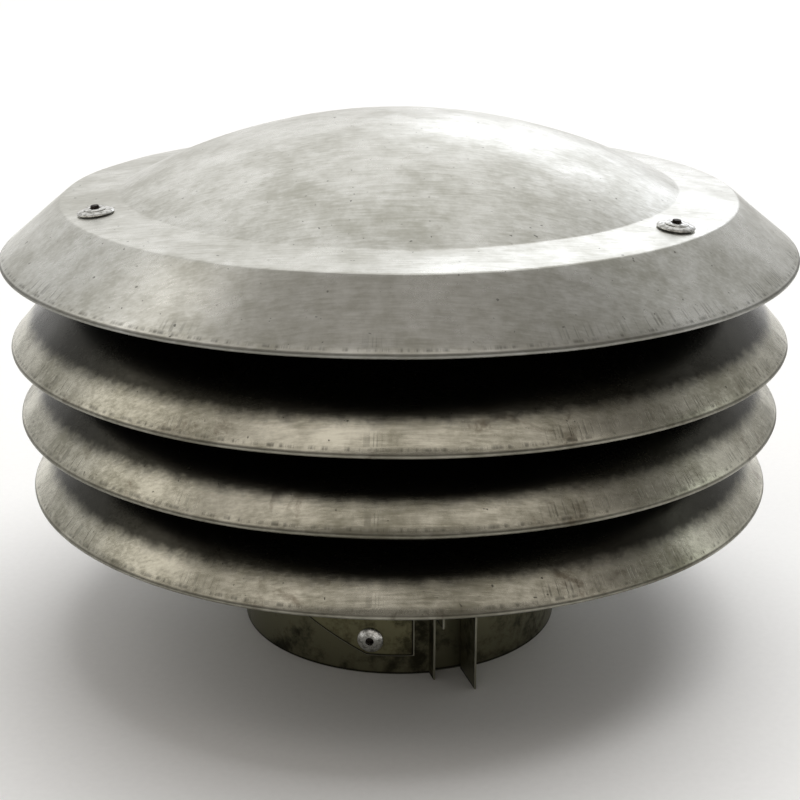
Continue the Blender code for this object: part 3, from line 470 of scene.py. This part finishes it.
def grimy_metal(name, clean, grime, grime_from, metallic, rough, bloom_mm=9.0, worn=None):
    """Sheet metal under a film of soot and kitchen grease, which hides the shine in soft patches.

    The film's patches are 9 to 14 mm across and its grains 0.7 mm, which show as a faint roughness.
    Where an edge is worn, the last 0.3 mm is lightened as rubbed wear and as a painted highlight, and a
    dark line 0.5 mm wide inside it is painted shadow of the gap beside the edge.
    """
    made, tree, shader = start_finish(name, Metallic=metallic)
    place = add(tree, "TexCoord").outputs["Object"]
    film = add(
        tree, "TexNoise", {"Vector": place, "Scale": per(bloom_mm), "Detail": 6.0, "Roughness": 0.68},
    )
    grains = add(tree, "TexNoise", {"Vector": place, "Scale": per(0.7), "Detail": 3.0})
    cover = add(
        tree, "MapRange",
        {"Value": film.outputs["Fac"], "From Min": grime_from, "From Max": grime_from + 0.2},
        interpolation_type="SMOOTHSTEP",
    ).outputs[0]
    colour = add(tree, "Mix", {0: cover, 6: linear(clean), 7: linear(grime)}, data_type="RGBA").outputs[2]
    if worn:
        edge = add(tree, "Attribute", attribute_name="edge_mm", attribute_type="GEOMETRY").outputs["Fac"]
        # painted shadow: a dark line inside each edge, standing in for the shadow of the gap beside it
        line = add(tree, "MapRange", {"Value": edge, "From Min": 1.0, "From Max": 0.5}).outputs[0]
        colour = add(tree, "Mix", {0: line, 6: colour, 7: linear("0b0a07")}, data_type="RGBA").outputs[2]
        # the last 0.3 mm of each edge is lightened, as rubbed wear and as a painted highlight
        rub = add(tree, "MapRange", {"Value": edge, "From Min": 0.32, "From Max": 0.16}).outputs[0]
        rub = add(tree, "Math", {0: rub, 1: film.outputs["Fac"]}, operation="MULTIPLY").outputs[0]
        colour = add(tree, "Mix", {0: rub, 6: colour, 7: linear(worn)}, data_type="RGBA").outputs[2]
    tree.links.new(colour, shader.inputs["Base Color"])
    sheen = add(tree, "Math", {0: cover, 1: 0.25, 2: rough}, operation="MULTIPLY_ADD").outputs[0]
    tree.links.new(sheen, shader.inputs["Roughness"])
    relief = add(
        tree, "Math", {0: film.outputs["Fac"], 1: 2.0, 2: grains.outputs["Fac"]},
        operation="MULTIPLY_ADD",
    )
    bump = add(tree, "Bump", {"Height": relief.outputs[0], "Distance": 0.04 * MM, "Strength": 0.6})
    tree.links.new(bump.outputs[0], shader.inputs["Normal"])
    return made


def bright_fastener(name, metal, shade, rough, scratch_mm=2.5):
    """Drawn or ground metal stock, upset into heads: bright, finely scratched, with a patchy dull film.

    Scratches are 2.5 to 4 mm long and 0.15 mm wide; the dull film comes in patches of 1.2 mm.
    """
    made, tree, shader = start_finish(name, Metallic=1.0)
    place = add(tree, "TexCoord").outputs["Object"]
    lain = add(
        tree, "Mapping",
        {"Vector": place, "Rotation": (0.0, 0.0, 0.6), "Scale": (per(scratch_mm), per(0.15), per(0.15))},
    )
    scratch = add(tree, "TexNoise", {"Vector": lain.outputs[0], "Scale": 1.0, "Detail": 2.0})
    film = add(tree, "TexNoise", {"Vector": place, "Scale": per(1.2), "Detail": 4.0, "Roughness": 0.65})
    cover = add(
        tree, "MapRange", {"Value": film.outputs["Fac"], "From Min": 0.42, "From Max": 0.66},
        interpolation_type="SMOOTHSTEP",
    ).outputs[0]
    colour = add(tree, "Mix", {0: cover, 6: linear(metal), 7: linear(shade)}, data_type="RGBA").outputs[2]
    tree.links.new(colour, shader.inputs["Base Color"])
    sheen = add(tree, "Math", {0: cover, 1: 0.18, 2: rough}, operation="MULTIPLY_ADD").outputs[0]
    tree.links.new(sheen, shader.inputs["Roughness"])
    bump = add(tree, "Bump", {"Height": scratch.outputs["Fac"], "Distance": 0.01 * MM, "Strength": 0.7})
    tree.links.new(bump.outputs[0], shader.inputs["Normal"])
    return made


def textured_coat(name, colour, worn, rough, grain_mm, coat=0.0):
    """Stoved paint or moulded nylon: one even colour with a fine orange-peel grain.

    The grain is 0.3 to 0.5 mm across, and rubbed patches 7 mm across are faintly paler.
    """
    made, tree, shader = start_finish(name, Metallic=0.0, IOR=1.5, Coat_Weight=coat)
    place = add(tree, "TexCoord").outputs["Object"]
    peel = add(tree, "TexNoise", {"Vector": place, "Scale": per(grain_mm), "Detail": 2.0})
    rub = add(tree, "TexNoise", {"Vector": place, "Scale": per(7.0), "Detail": 5.0, "Roughness": 0.7})
    rub = add(
        tree, "MapRange", {"Value": rub.outputs["Fac"], "From Min": 0.5, "From Max": 0.7},
        interpolation_type="SMOOTHSTEP",
    ).outputs[0]
    mixed = add(tree, "Mix", {0: rub, 6: linear(colour), 7: linear(worn)}, data_type="RGBA").outputs[2]
    tree.links.new(mixed, shader.inputs["Base Color"])
    sheen = add(tree, "Math", {0: rub, 1: 0.15, 2: rough}, operation="MULTIPLY_ADD").outputs[0]
    tree.links.new(sheen, shader.inputs["Roughness"])
    bump = add(tree, "Bump", {"Height": peel.outputs["Fac"], "Distance": 0.03 * MM, "Strength": 0.5})
    tree.links.new(bump.outputs[0], shader.inputs["Normal"])
    return made


def stacked_laminations(name):
    """Varnished electrical steel, stamped and stacked: 0.5 mm sheets show as fine level lines."""
    made, tree, shader = start_finish(name, Metallic=0.8, Roughness=0.5)
    place = add(tree, "TexCoord").outputs["Object"]
    layers = add(
        tree, "TexWave", {"Vector": place, "Scale": per(0.5) / 6.3, "Distortion": 0.2},
        bands_direction="Z",
    )
    colour = add(
        tree, "Mix", {0: layers.outputs["Fac"], 6: linear("2a2b2e"), 7: linear("6b6d72")},
        data_type="RGBA",
    )
    tree.links.new(colour.outputs[2], shader.inputs["Base Color"])
    bump = add(tree, "Bump", {"Height": layers.outputs["Fac"], "Distance": 0.05 * MM, "Strength": 0.6})
    tree.links.new(bump.outputs[0], shader.inputs["Normal"])
    return made


LID_SHEET = spun_aluminium("spun_aluminium_lid", "e2e2dc", "b2b1a6", "857f6c", 0.66, 0.2, 0.27)
# the louvres take painted shade on their inner slopes, where the sheet above casts its shadow
LOUVRE_SHEET = spun_aluminium(
    "spun_aluminium_louvres", "d2cfc0", "8d8a7a", "584834", 0.55, 0.15, 0.24, inner_shade_amount=0.93,
)
# painted shade: a near-black finish for the sheets' inner faces and undersides, where shade falls
UNDERSIDE_SHADE = grimy_metal("aluminium_painted_underside_shade", "0e0e0d", "040404", 0.34, 0.2, 0.55)
PAN_SHEET = grimy_metal("spun_aluminium_pan", "6f6f68", "26251f", 0.48, 0.9, 0.38)
# painted shade: the collar's and band's colours are darkened, standing in for the shadow under the lowest
# louvre and the dark surroundings they reflect
GALVANISED = grimy_metal("galvanised_strip_painted_shade", "6c6a54", "2a281b", 0.46, 0.85, 0.4, 14.0, "b9b7a4")
# the band's and the plate's edges take the painted shadow line and the painted edge highlight
PLATE_SHEET = grimy_metal("aged_galvanised_plate", "7c795c", "3d3a28", 0.46, 0.85, 0.38, 11.0, "d9d6c2")
STRIP = grimy_metal("mill_finish_strip", "77766f", "25241f", 0.48, 0.9, 0.4)
RIVET = bright_fastener("drawn_aluminium_rivets", "dcdcd8", "9a9a94", 0.24)
MANDREL = bright_fastener("rusted_mandrel_steel", "3a3531", "14100d", 0.5)
# painted shade: the plated steel's colours are darkened, standing in for the shade round the clamp under
# the lowest louvre
PLATED = bright_fastener("zinc_plated_steel", "9d9b8c", "4f4c40", 0.34)
GROUND = bright_fastener("ground_bearing_steel", "c4c6c9", "9fa1a4", 0.16, scratch_mm=4.0)
MOTOR_PAINT = textured_coat("stoved_black_paint", "161719", "232426", 0.38, 0.5, coat=0.2)
NYLON = textured_coat("glass_filled_black_nylon", "2c2d2f", "3b3c3e", 0.42, 0.3)
LAMINATED = stacked_laminations("varnished_laminations")


# Lid and louvres

def flat_height(radius):
    """Height of the lid's flat ring at a radius."""
    return FLAT_HEIGHT + (FLAT_RADIUS - radius) * math.tan(FLAT_TILT)


def make_lid():
    """One spun sheet: dome, flat ring, skirt and folded lip."""
    base = flat_height(DOME_RADIUS)
    rise = LID_TOP - base
    sphere = (DOME_RADIUS ** 2 + rise ** 2) / (2 * rise)
    crown = []
    count = 40
    for i in range(count):
        radius = DOME_RADIUS * i / count
        crown.append(Vector((radius, LID_TOP - sphere + math.sqrt(sphere ** 2 - radius ** 2))))
    slope = Vector((SKIRT_RUN, -SKIRT_DROP)).normalized()
    lip = hem_end(COWL_RADIUS, LID_LIP, slope)
    corner = [crown[-1], (DOME_RADIUS, base), (FLAT_RADIUS, FLAT_HEIGHT), lip]
    outer = crown[:-1] + spaced(bent(corner, (2.0 * MM, 1.6 * MM)), ROW_STEP)
    section, edge, inner = hemmed(outer, SHEET)
    lid = skin("lid_spun", turned_rows(section, SIDES, worn=1.0), [LID_SHEET, UNDERSIDE_SHADE], edge, inner)
    stand_for(lid, "cowl", "spun_aluminium", "lid")


def make_louvre(node):
    """A flared ring with an upright neck and a folded lip."""
    low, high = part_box(node)
    slope = Vector((math.cos(LOUVRE_SLOPE), -math.sin(LOUVRE_SLOPE)))
    end = hem_end(high.x, low.z, slope)
    shoulder = Vector((CAGE_RADIUS, end.y + (end.x - CAGE_RADIUS) * math.tan(LOUVRE_SLOPE)))
    outer = spaced(bent([(CAGE_RADIUS, high.z), shoulder, end], (2.0 * MM,)), ROW_STEP)
    section, edge, inner = hemmed(outer, SHEET)
    rows = turned_rows(section, SIDES, worn=1.0)
    louvre = skin(f"{node}_spun", rows, [LOUVRE_SHEET, UNDERSIDE_SHADE], edge, inner, ring_rows=True)
    stand_for(louvre, "cowl", "louvre_aluminium", node)


make_lid()
for louvre_node in ("louvre_upper", "louvre_middle", "louvre_lower"):
    make_louvre(louvre_node)


# Base pan and collar

def make_base_pan():
    """Dish with an upright rim and a neck turned down over the collar."""
    corners = [
        (CAGE_RADIUS, PAN_HIGH.z), (CAGE_RADIUS, PAN_HEIGHT),
        (PAN_NECK, PAN_HEIGHT), (PAN_NECK, PAN_LOW.z),
    ]
    outer = spaced(bent(corners, (2.0 * MM, 2.0 * MM)), ROW_STEP)
    section, edge, inner = plain_sheet(outer, SHEET)
    rows = turned_rows(section, SIDES, worn=0.4)
    pan = skin("base_pan_spun", rows, [PAN_SHEET, UNDERSIDE_SHADE], edge, inner, ring_rows=True)
    stand_for(pan, "cowl", "pan_aluminium", "base_pan")


def make_collar():
    """Round spigot with plain rounded rims."""
    low = Vector((COLLAR_RADIUS, COLLAR_WALL * 0.4))
    outer = spaced([Vector((COLLAR_RADIUS, COLLAR_HIGH.z)), low], ROW_STEP)
    section, edge, inner = plain_sheet(outer, COLLAR_WALL)
    rows = turned_rows(section, SIDES)
    collar = skin("collar_rolled", rows, [GALVANISED, UNDERSIDE_SHADE], edge, inner, ring_rows=True)
    stand_for(collar, "cowl", "galvanised_sheet", "collar")


make_base_pan()
make_collar()


# Draw band, seam plate and clamp

BAND_WALL = 0.6 * MM
BAND_MIDDLE = COLLAR_RADIUS + CONTACT_GAP + BAND_WALL / 2
BAND_OUTER = BAND_MIDDLE + BAND_WALL / 2
EAR_MIDDLE = -73.8          # azimuth halfway between the ears, in degrees
EAR_HALF_ANGLE = 5.7
EAR_LENGTH = 13.4 * MM
CUT_EAR_LENGTH = 4.7 * MM
CLAMP_HEIGHT = BAND_TOP - 6.5 * MM
CUT_EAR_HEIGHT = CLAMP_HEIGHT - 6.5 * MM
EAR_OUT = compass(EAR_MIDDLE)
CLAMP_AXIS = compass(EAR_MIDDLE + 90.0)
PLATE_WALL = 0.6 * MM
SEAM_RIVET_AZIMUTH = -99.7
SEAM_RIVET_HEIGHT = 11.7 * MM
EAR_SPAN = 2 * BAND_MIDDLE * math.sin(math.radians(EAR_HALF_ANGLE)) + BAND_WALL


def make_band():
    """Strip round the collar, its ends bent out as ears, the left one cut back below the screw."""
    first = EAR_MIDDLE + EAR_HALF_ANGLE
    last = EAR_MIDDLE - EAR_HALF_ANGLE + 360.0
    count = 180
    arc = [at(first + (last - first) * i / count, BAND_MIDDLE, 0.0) for i in range(count + 1)]
    tip = EAR_OUT * EAR_LENGTH
    start = bent([arc[0] + tip, arc[0], arc[1]], (0.5 * MM,))[:-1]
    end = bent([arc[-2], arc[-1], arc[-1] + tip], (0.5 * MM,))[1:-1]
    root = arc[-1]
    cut = root + EAR_OUT * CUT_EAR_LENGTH
    whole = spaced(start + arc[2:-2] + end + [cut], 0.5 * MM)
    short = spaced([cut + EAR_OUT * 0.05 * MM, root + tip], 0.5 * MM)
    line = whole + short
    lows = [0.0] * len(whole) + [CUT_EAR_HEIGHT] * len(short)
    highs = [BAND_TOP] * len(line)
    band = strap("clamp_band_rolled", line, (0, 0, 1), [GALVANISED], lows, highs, BAND_WALL)
    stand_for(band, "cowl", "galvanised_sheet", "clamp_band")


def make_seam_plate():
    """Curved plate with one clipped lower corner."""
    inner = BAND_OUTER + CONTACT_GAP
    left, right = -126.0, -85.0
    bottom, top = 6.5 * MM, BAND_TOP - 2.0 * MM
    clip_azimuth = -101.1
    clip_slope = 0.485
    columns = 48
    line = []
    lows = []
    for i in range(columns + 1):
        azimuth = left + (right - left) * i / columns
        line.append(at(azimuth, inner + PLATE_WALL / 2, 0.0))
        clipped = math.radians(max(0.0, clip_azimuth - azimuth)) * inner * clip_slope
        lows.append(bottom + clipped)
    highs = [top] * len(line)
    plate = strap("seam_plate_cut", line, (0, 0, 1), [PLATE_SHEET], lows, highs, PLATE_WALL)
    stand_for(plate, "cowl", "galvanised_sheet", "seam_plate")


def clamp_point(along):
    """A point on the clamp screw's axis, measured from halfway between the ears."""
    out = BAND_OUTER * math.cos(math.radians(EAR_HALF_ANGLE)) + 8.2 * MM
    point = EAR_OUT * out + CLAMP_AXIS * along
    point.z = CLAMP_HEIGHT
    return point


def make_clamp():
    """Pan-head screw with a rolled thread, washer and chamfered nut."""
    outside = EAR_SPAN / 2
    washer = lathe(
        "clamp_washer_stamped",
        [(2.1, 1.1), (4.2, 1.1), (4.4, 0.95), (4.4, 0.4), (4.3, 0.3), (2.1, 0.3)],
        [PLATED], placement=facing(clamp_point(outside), CLAMP_AXIS), ring_rows=True,
    )
    stand_for(washer, "clamp_washer", "zinc_plated_steel", "clamp_washer")
    head_plane = outside + 1.1 * MM
    length = (head_plane + outside + CONTACT_GAP + 6.2 * MM) / MM
    profile = [
        (0.0, 1.9), (0.9, 1.9), (1.3, 3.05), (2.0, 3.1), (2.9, 2.7),
        (3.6, 1.9), (3.8, 1.0), (3.8, 0.4), (3.6, 0.3), (2.0, 0.3),
    ]
    depth = 0.0
    while depth < length - 1.5:
        profile += [(2.0, -depth - 0.1), (1.65, -depth - 0.4)]
        depth += 0.7
    profile += [(1.6, -length + 0.6), (1.1, -length), (0.0, -length)]
    placement = facing(clamp_point(head_plane), CLAMP_AXIS)
    screw = lathe("clamp_screw_rolled", profile, [PLATED], sides=32, placement=placement)
    stand_for(screw, "clamp_screw", "zinc_plated_steel", "clamp_screw")
    flats = 3.5 / math.cos(math.pi / 6)
    rows = []
    for radius, height in ((2.1, 3.5), (3.3, 3.5), (flats, 3.1), (flats, 0.7), (3.3, 0.3), (2.1, 0.3)):
        ring = []
        for i in range(36):
            angle = math.tau * i / 36
            face = math.cos(math.pi / 6) / math.cos((angle % (math.pi / 3)) - math.pi / 6)
            reach = radius * (face if radius > 3.4 else 1.0) * MM
            ring.append(Vector((reach * math.cos(angle), reach * math.sin(angle), height * MM)))
        rows.append(ring)
    nut = skin("clamp_nut_forged", rows, [PLATED], ring_rows=True)
    nut.matrix_world = facing(clamp_point(-outside), -CLAMP_AXIS)
    stand_for(nut, "cowl", "zinc_plated_steel", "clamp_nut")


make_band()
make_seam_plate()
make_clamp()


# Rivets

def open_rivet(name, flange, rise, shank, stack, stub, point, direction):
    """A set blind rivet: domed flange, raised barrel end and the broken mandrel in its hollow.

    Sizes are in millimetres: radii of the flange and shank, the flange's rise, the stack of sheets
    it holds and the height of the mandrel's stub.
    """
    bore = shank * 0.62
    gap = CONTACT_GAP / MM
    profile = [
        (0.0, stub), (bore * 0.72, stub), (bore * 0.8, stub - 0.25), (bore * 0.8, 0.35),
        (bore, 0.3), (bore, rise + 0.05), (bore * 1.08, rise + gap), (shank * 1.18, rise + gap),
        (shank * 1.38, rise + 0.1), (flange * 0.62, rise * 0.72 + gap), (flange * 0.86, rise * 0.5 + gap),
        (flange * 0.97, rise * 0.28 + gap), (flange, rise * 0.12 + gap), (flange * 0.985, gap),
        (shank, gap), (shank, -stack), (shank * 1.3, -stack - 0.3), (shank * 1.36, -stack - 0.9),
        (shank, -stack - 1.6), (0.0, -stack - 1.6),
    ]
    placement = facing(point, direction)
    return lathe(name, profile, [MANDREL, RIVET], sides=56, inner=4, placement=placement)


def make_lid_rivets():
    """Large-flange rivets, square to the lid's tilted flat ring."""
    stack = 2.6
    for index, azimuth in enumerate(STRUT_AZIMUTHS, start=1):
        node = f"lid_rivet_{index}"
        low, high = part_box(node)
        radius = ((low + high) / 2).xy.length
        normal = compass(azimuth) * math.sin(FLAT_TILT) + Vector((0, 0, math.cos(FLAT_TILT)))
        point = at(azimuth, radius, flat_height(radius))
        rivet = open_rivet(f"{node}_set", 5.25, 1.3, 2.4, stack, 2.3, point, normal)
        stand_for(rivet, "cowl", "rivet_aluminium", node)


def make_seam_rivet():
    """The rivet through plate, band and collar, its mandrel pulled out."""
    outer = BAND_OUTER + CONTACT_GAP + PLATE_WALL
    point = at(SEAM_RIVET_AZIMUTH, outer, SEAM_RIVET_HEIGHT)
    direction = compass(SEAM_RIVET_AZIMUTH)
    rivet = open_rivet("seam_rivet_set", 3.9, 1.1, 1.9, 2.6, 0.2, point, direction)
    stand_for(rivet, "cowl", "rivet_aluminium", "seam_rivet")


def make_small_rivet(node, inwards):
    """A small rivet along a radius, its flange facing the axis or away from it."""
    low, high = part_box(node)
    middle = (low + high) / 2
    azimuth = math.degrees(math.atan2(middle.y, middle.x))
    out = compass(azimuth)
    reach = max(abs(high.z - low.z) / 2, 2.6 * MM)
    long_half = 3.05 * MM if inwards else 2.6 * MM
    flange_at = middle.xy.length + (-long_half if inwards else long_half) * 0.62
    stack = 2.3 if inwards else 1.4
    direction = -out if inwards else out
    point = at(azimuth, flange_at, middle.z)
    rivet = open_rivet(f"{node}_set", reach / MM, 0.8, 1.2, stack, 0.7, point, direction)
    stand_for(rivet, "cowl", "rivet_aluminium", node)


make_lid_rivets()
make_seam_rivet()
for rivet_index in (1, 2, 3):
    for height_name in ("upper", "middle", "lower"):
        make_small_rivet(f"louvre_rivet_{height_name}_{rivet_index}", True)
    make_small_rivet(f"pan_rivet_{rivet_index}", True)
    make_small_rivet(f"neck_rivet_{rivet_index}", False)


# Struts

CAD_SIDES = 48              # facets round the CAD's turned sheets, which the struts must clear


def make_strut(index, azimuth):
    """An upright strip bent inwards at the top, along the underside of the lid's flat ring."""
    node = f"strut_{index}"
    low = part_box(node)[0]
    wall = 1.2 * MM
    width = 12.0 * MM
    chord = math.sqrt((CAGE_RADIUS - SHEET) ** 2 - (width / 2) ** 2)
    face = chord * math.cos(math.pi / CAD_SIDES) - CONTACT_GAP
    middle = face - wall / 2
    drop = (SHEET + CONTACT_GAP + wall / 2) / math.cos(FLAT_TILT)
    tab_end = face - 11.0 * MM
    out = compass(azimuth)
    line = [
        out * middle + Vector((0, 0, low.z)),
        out * middle + Vector((0, 0, flat_height(middle) - drop)),
        out * tab_end + Vector((0, 0, flat_height(tab_end) - drop)),
    ]
    line = spaced(bent(line, (2.5 * MM,)), 2.0 * MM)
    across = compass(azimuth + 90.0)
    half = [width / 2] * len(line)
    strut = strap(f"{node}_bent", line, across, [STRIP], [-value for value in half], half, wall)
    stand_for(strut, "cowl", "strut_strip", node)


for strut_index, strut_azimuth in enumerate(STRUT_AZIMUTHS, start=1):
    make_strut(strut_index, strut_azimuth)


# Fan

def make_impeller():
    """Moulded hub with a rounded nose, and twisted blades with soft edges."""
    low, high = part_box("impeller")
    top = high.z
    hub = 16.0 * MM
    bore = 3.1 * MM
    nose = [
        Vector((bore, top)), Vector((hub - 1.5 * MM, top)), Vector((hub, top - 1.5 * MM)),
        Vector((hub, low.z + 5.0 * MM)), Vector((hub - 5.0 * MM, low.z)), Vector((bore, low.z)),
    ]
    section = bent(nose, (0.8 * MM, 0.8 * MM, 4.0 * MM, 2.0 * MM), steps=5)
    body = skin("impeller_moulded", turned_rows(section, 72), [NYLON], ring_rows=True)
    tip = COLLAR_RADIUS - COLLAR_WALL - 2.4 * MM
    root = hub * 0.8
    chord_full = 23.0 * MM
    pieces = []
    for index in range(5):
        rows = []
        for i in range(19):
            out = i / 18
            radius = root + (tip - root) * out
            pitch = math.radians(25.0) + math.radians(8.0) * (1.0 - out)
            loop = []
            for k in range(28):
                turn = math.tau * k / 28
                across = 0.5 * math.cos(turn)
                thick = 0.8 * MM * math.sin(turn) * (1.0 - 0.35 * out)
                chord = across * chord_full * (0.8 + 0.2 * out) * (1.0 - 0.12 * out ** 8)
                camber = 0.06 * chord_full * (1.0 - (2 * across) ** 2)
                angle = chord * math.cos(pitch) / max(radius, hub)
                angle += math.tau * index / 5 + math.radians(7.0)
                height = top - 7.2 * MM + chord * math.sin(pitch) + camber + thick
                loop.append(Vector((radius * math.cos(angle), radius * math.sin(angle), height)))
            rows.append(loop)
        pieces.append(skin(f"impeller_blade_{index + 1}", rows, [NYLON], caps=True))
    for blade in pieces:
        step = body.modifiers.new(blade.name, "BOOLEAN")
        step.operation = "UNION"
        step.object = blade
    bpy.context.view_layer.update()
    joined = bpy.data.meshes.new_from_object(body.evaluated_get(bpy.context.evaluated_depsgraph_get()))
    body.modifiers.clear()
    body.data = joined
    for blade in pieces:
        bpy.data.objects.remove(blade)
    joined.set_sharp_from_angle(angle=math.radians(32.0))
    stand_for(body, "rotor", "black_nylon", "impeller")


def make_motor_shell():
    """Deep-drawn motor shell with a bearing boss and drawn bends."""
    low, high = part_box("motor_shell")
    radius = high.x
    boss = 11.0 * MM
    shoulder = high.z - 5.0 * MM
    outer = bent(
        [(0.0, high.z), (boss, high.z), (boss, shoulder), (radius, shoulder), (radius, low.z)],
        (1.5 * MM, 1.0 * MM, 3.0 * MM),
    )
    inner = inward(outer, 1.2 * MM)
    inner[0].x = 0.0
    section = outer + list(reversed(inner))
    shell = skin("motor_shell_drawn", turned_rows(section, 96), [MOTOR_PAINT])
    stand_for(shell, "cowl", "motor_paint", "motor_shell")


make_impeller()
make_motor_shell()

for carried, look in {
    "motor_end_cap": MOTOR_PAINT, "motor_bracket": PLATED, "stator": LAMINATED, "rotor_core": LAMINATED,
    "shaft": GROUND, "bearing_lower": GROUND, "bearing_upper": GROUND, "impeller_clip": PLATED,
    "terminal_box": NYLON, "terminal_lid": NYLON, "cable_gland": NYLON,
}.items():
    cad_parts[carried].data.materials.clear()
    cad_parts[carried].data.materials.append(look)


def make_screw(node, up):
    """Pan-head sheet screw with a coarse thread and a round hollow in its head."""
    low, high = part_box(node)
    middle = (low + high) / 2
    head = 2.5
    plane = high.z - head * MM if up else low.z + head * MM
    length = (high.z - low.z) / MM - head
    profile = [
        (0.0, 1.3), (0.7, 1.4), (1.1, 2.45), (2.0, 2.4), (3.0, 1.9),
        (3.6, 1.2), (3.6, 0.45), (3.4, 0.3), (1.6, 0.3),
    ]
    depth = 0.2
    while depth < length - 1.6:
        profile += [(1.6, -depth), (1.2, -depth - 0.45)]
        depth += 0.9
    profile += [(1.1, -length + 1.0), (0.0, -length)]
    placement = facing(Vector((middle.x, middle.y, plane)), (0, 0, 1 if up else -1))
    screw = lathe(f"{node}_rolled", profile, [PLATED], sides=28, placement=placement)
    stand_for(screw, "cowl", "zinc_plated_steel", node)


for screw_index in (1, 2, 3):
    make_screw(f"bracket_screw_{screw_index}", True)
    make_screw(f"motor_screw_{screw_index}", False)


# Camera, floor and light

FLOOR_RADIUS = 40.0         # metres, so that no view shows its rim
CAMERA_BACK = 4.0184        # distance in cowl radii
CAMERA_RISE = 0.969         # height above the lid's lip in cowl radii
CAMERA_TILT = math.radians(19.18)


def make_camera():
    """Camera in front of and above the cowl."""
    data = bpy.data.cameras.new("camera")
    data.sensor_width = 36.0
    data.lens = 72.14
    camera = bpy.data.objects.new("camera", data)
    bpy.context.scene.collection.objects.link(camera)
    camera.location = (0.0002, -CAMERA_BACK * COWL_RADIUS, LID_LIP + CAMERA_RISE * COWL_RADIUS)
    camera.rotation_euler = (math.pi / 2 - CAMERA_TILT, 0.0, 0.0)
    bpy.context.scene.camera = camera


def make_floor():
    """A wide pale paper floor, its fibres 2 mm across."""
    made, tree, shader = start_finish("studio_paper", Roughness=0.9, Specular_IOR_Level=0.2)
    place = add(tree, "TexCoord").outputs["Object"]
    fibre = add(tree, "TexNoise", {"Vector": place, "Scale": per(2.0), "Detail": 4.0})
    colour = add(
        tree, "Mix", {0: fibre.outputs["Fac"], 6: linear("f3f3f2"), 7: linear("fafaf9")},
        data_type="RGBA",
    )
    tree.links.new(colour.outputs[2], shader.inputs["Base Color"])
    bm = bmesh.new()
    bmesh.ops.create_circle(bm, cap_ends=True, segments=96, radius=FLOOR_RADIUS)
    mesh = bpy.data.meshes.new("floor")
    bm.to_mesh(mesh)
    bm.free()
    mesh.materials.append(made)
    floor = bpy.data.objects.new("floor", mesh)
    bpy.context.scene.collection.objects.link(floor)
    return floor


def make_light(name, azimuth, elevation, distance, size, power, colour):
    """A soft box that faces the cowl from a direction."""
    data = bpy.data.lights.new(name, "AREA")
    data.shape = "RECTANGLE"
    data.size, data.size_y = size
    data.energy = power
    data.color = linear(colour)[:3]
    light = bpy.data.objects.new(name, data)
    bpy.context.scene.collection.objects.link(light)
    rise = math.radians(elevation)
    aim = compass(azimuth) * math.cos(rise) + Vector((0, 0, math.sin(rise)))
    light.location = Vector((0, 0, 0.1)) + aim * distance
    light.rotation_euler = aim.to_track_quat("Z", "Y").to_euler()


# Tones of the studio's walls and ceiling, from straight in front (-1) to straight behind (1)
WALL_TONES = (
    (-0.95, 0.6), (-0.72, 0.22), (-0.57, 0.06), (-0.47, 0.95), (-0.3, 1.0), (-0.2, 0.32),
    (0.04, 0.25), (0.29, 0.9), (0.9, 1.0),
)


def make_floor_light(floor):
    """Overhead lamp that lights the floor alone, so that the floor stays pale round a dark duct."""
    data = bpy.data.lights.new("floor_lamp", "SUN")
    data.energy = 1.7
    data.angle = math.radians(50.0)
    lamp = bpy.data.objects.new("floor_lamp", data)
    bpy.context.scene.collection.objects.link(lamp)
    lamp.rotation_euler = (math.radians(-12.0), math.radians(10.0), 0.0)
    lit = bpy.data.collections.new("lit_by_floor_lamp")
    lit.objects.link(floor)
    lamp.light_linking.receiver_collection = lit


def make_world():
    """Studio surround: pale behind, grey overhead, dark and pale bands in front, greyer at both sides."""
    world = bpy.data.worlds.new("studio")
    bpy.context.scene.world = world
    world.use_nodes = True
    tree = world.node_tree
    backdrop = tree.nodes["Background"]
    way = add(tree, "TexCoord").outputs["Generated"]
    parts = add(tree, "SeparateXYZ", {0: way})
    depth = add(tree, "MapRange", {"Value": parts.outputs["Y"], "From Min": -1.0, "From Max": 1.0})
    walls = add(tree, "ValToRGB", {0: depth.outputs[0]})
    stops = walls.color_ramp.elements
    while len(stops) < len(WALL_TONES):
        stops.new(0.5)
    for stop, (behind, tone) in zip(stops, WALL_TONES):
        stop.position = (behind + 1.0) / 2.0
        warm = 0.98 if behind > 0.2 else 0.89
        stop.color = (tone, tone * (0.5 + warm / 2), tone * warm, 1.0)
    right = add(
        tree, "MapRange",
        {"Value": parts.outputs["X"], "From Min": 0.1, "From Max": 0.7, "To Min": 1.0, "To Max": 0.56},
        interpolation_type="SMOOTHSTEP",
    ).outputs[0]
    left = add(
        tree, "MapRange",
        {"Value": parts.outputs["X"], "From Min": -0.3, "From Max": -0.8, "To Min": 1.0, "To Max": 0.62},
        interpolation_type="SMOOTHSTEP",
    ).outputs[0]
    sides = add(tree, "Math", {0: right, 1: left}, operation="MULTIPLY").outputs[0]
    colour = add(tree, "VectorMath", {0: walls.outputs[0], "Scale": sides}, operation="SCALE").outputs[0]
    tree.links.new(colour, backdrop.inputs["Color"])
    backdrop.inputs["Strength"].default_value = 1.0


make_camera()
floor = make_floor()
make_light("window", 72.0, 22.0, 2.4, (1.3, 0.9), 4.0, "f0f4ff")
make_light("left_panel", 178.0, 41.0, 2.2, (1.0, 1.3), 3.2, "fffaf2")
make_light("right_panel", 6.0, 20.0, 2.2, (0.7, 0.5), 0.8, "f6fff6")
make_floor_light(floor)
make_world()
bpy.context.scene.view_settings.view_transform = "Standard"
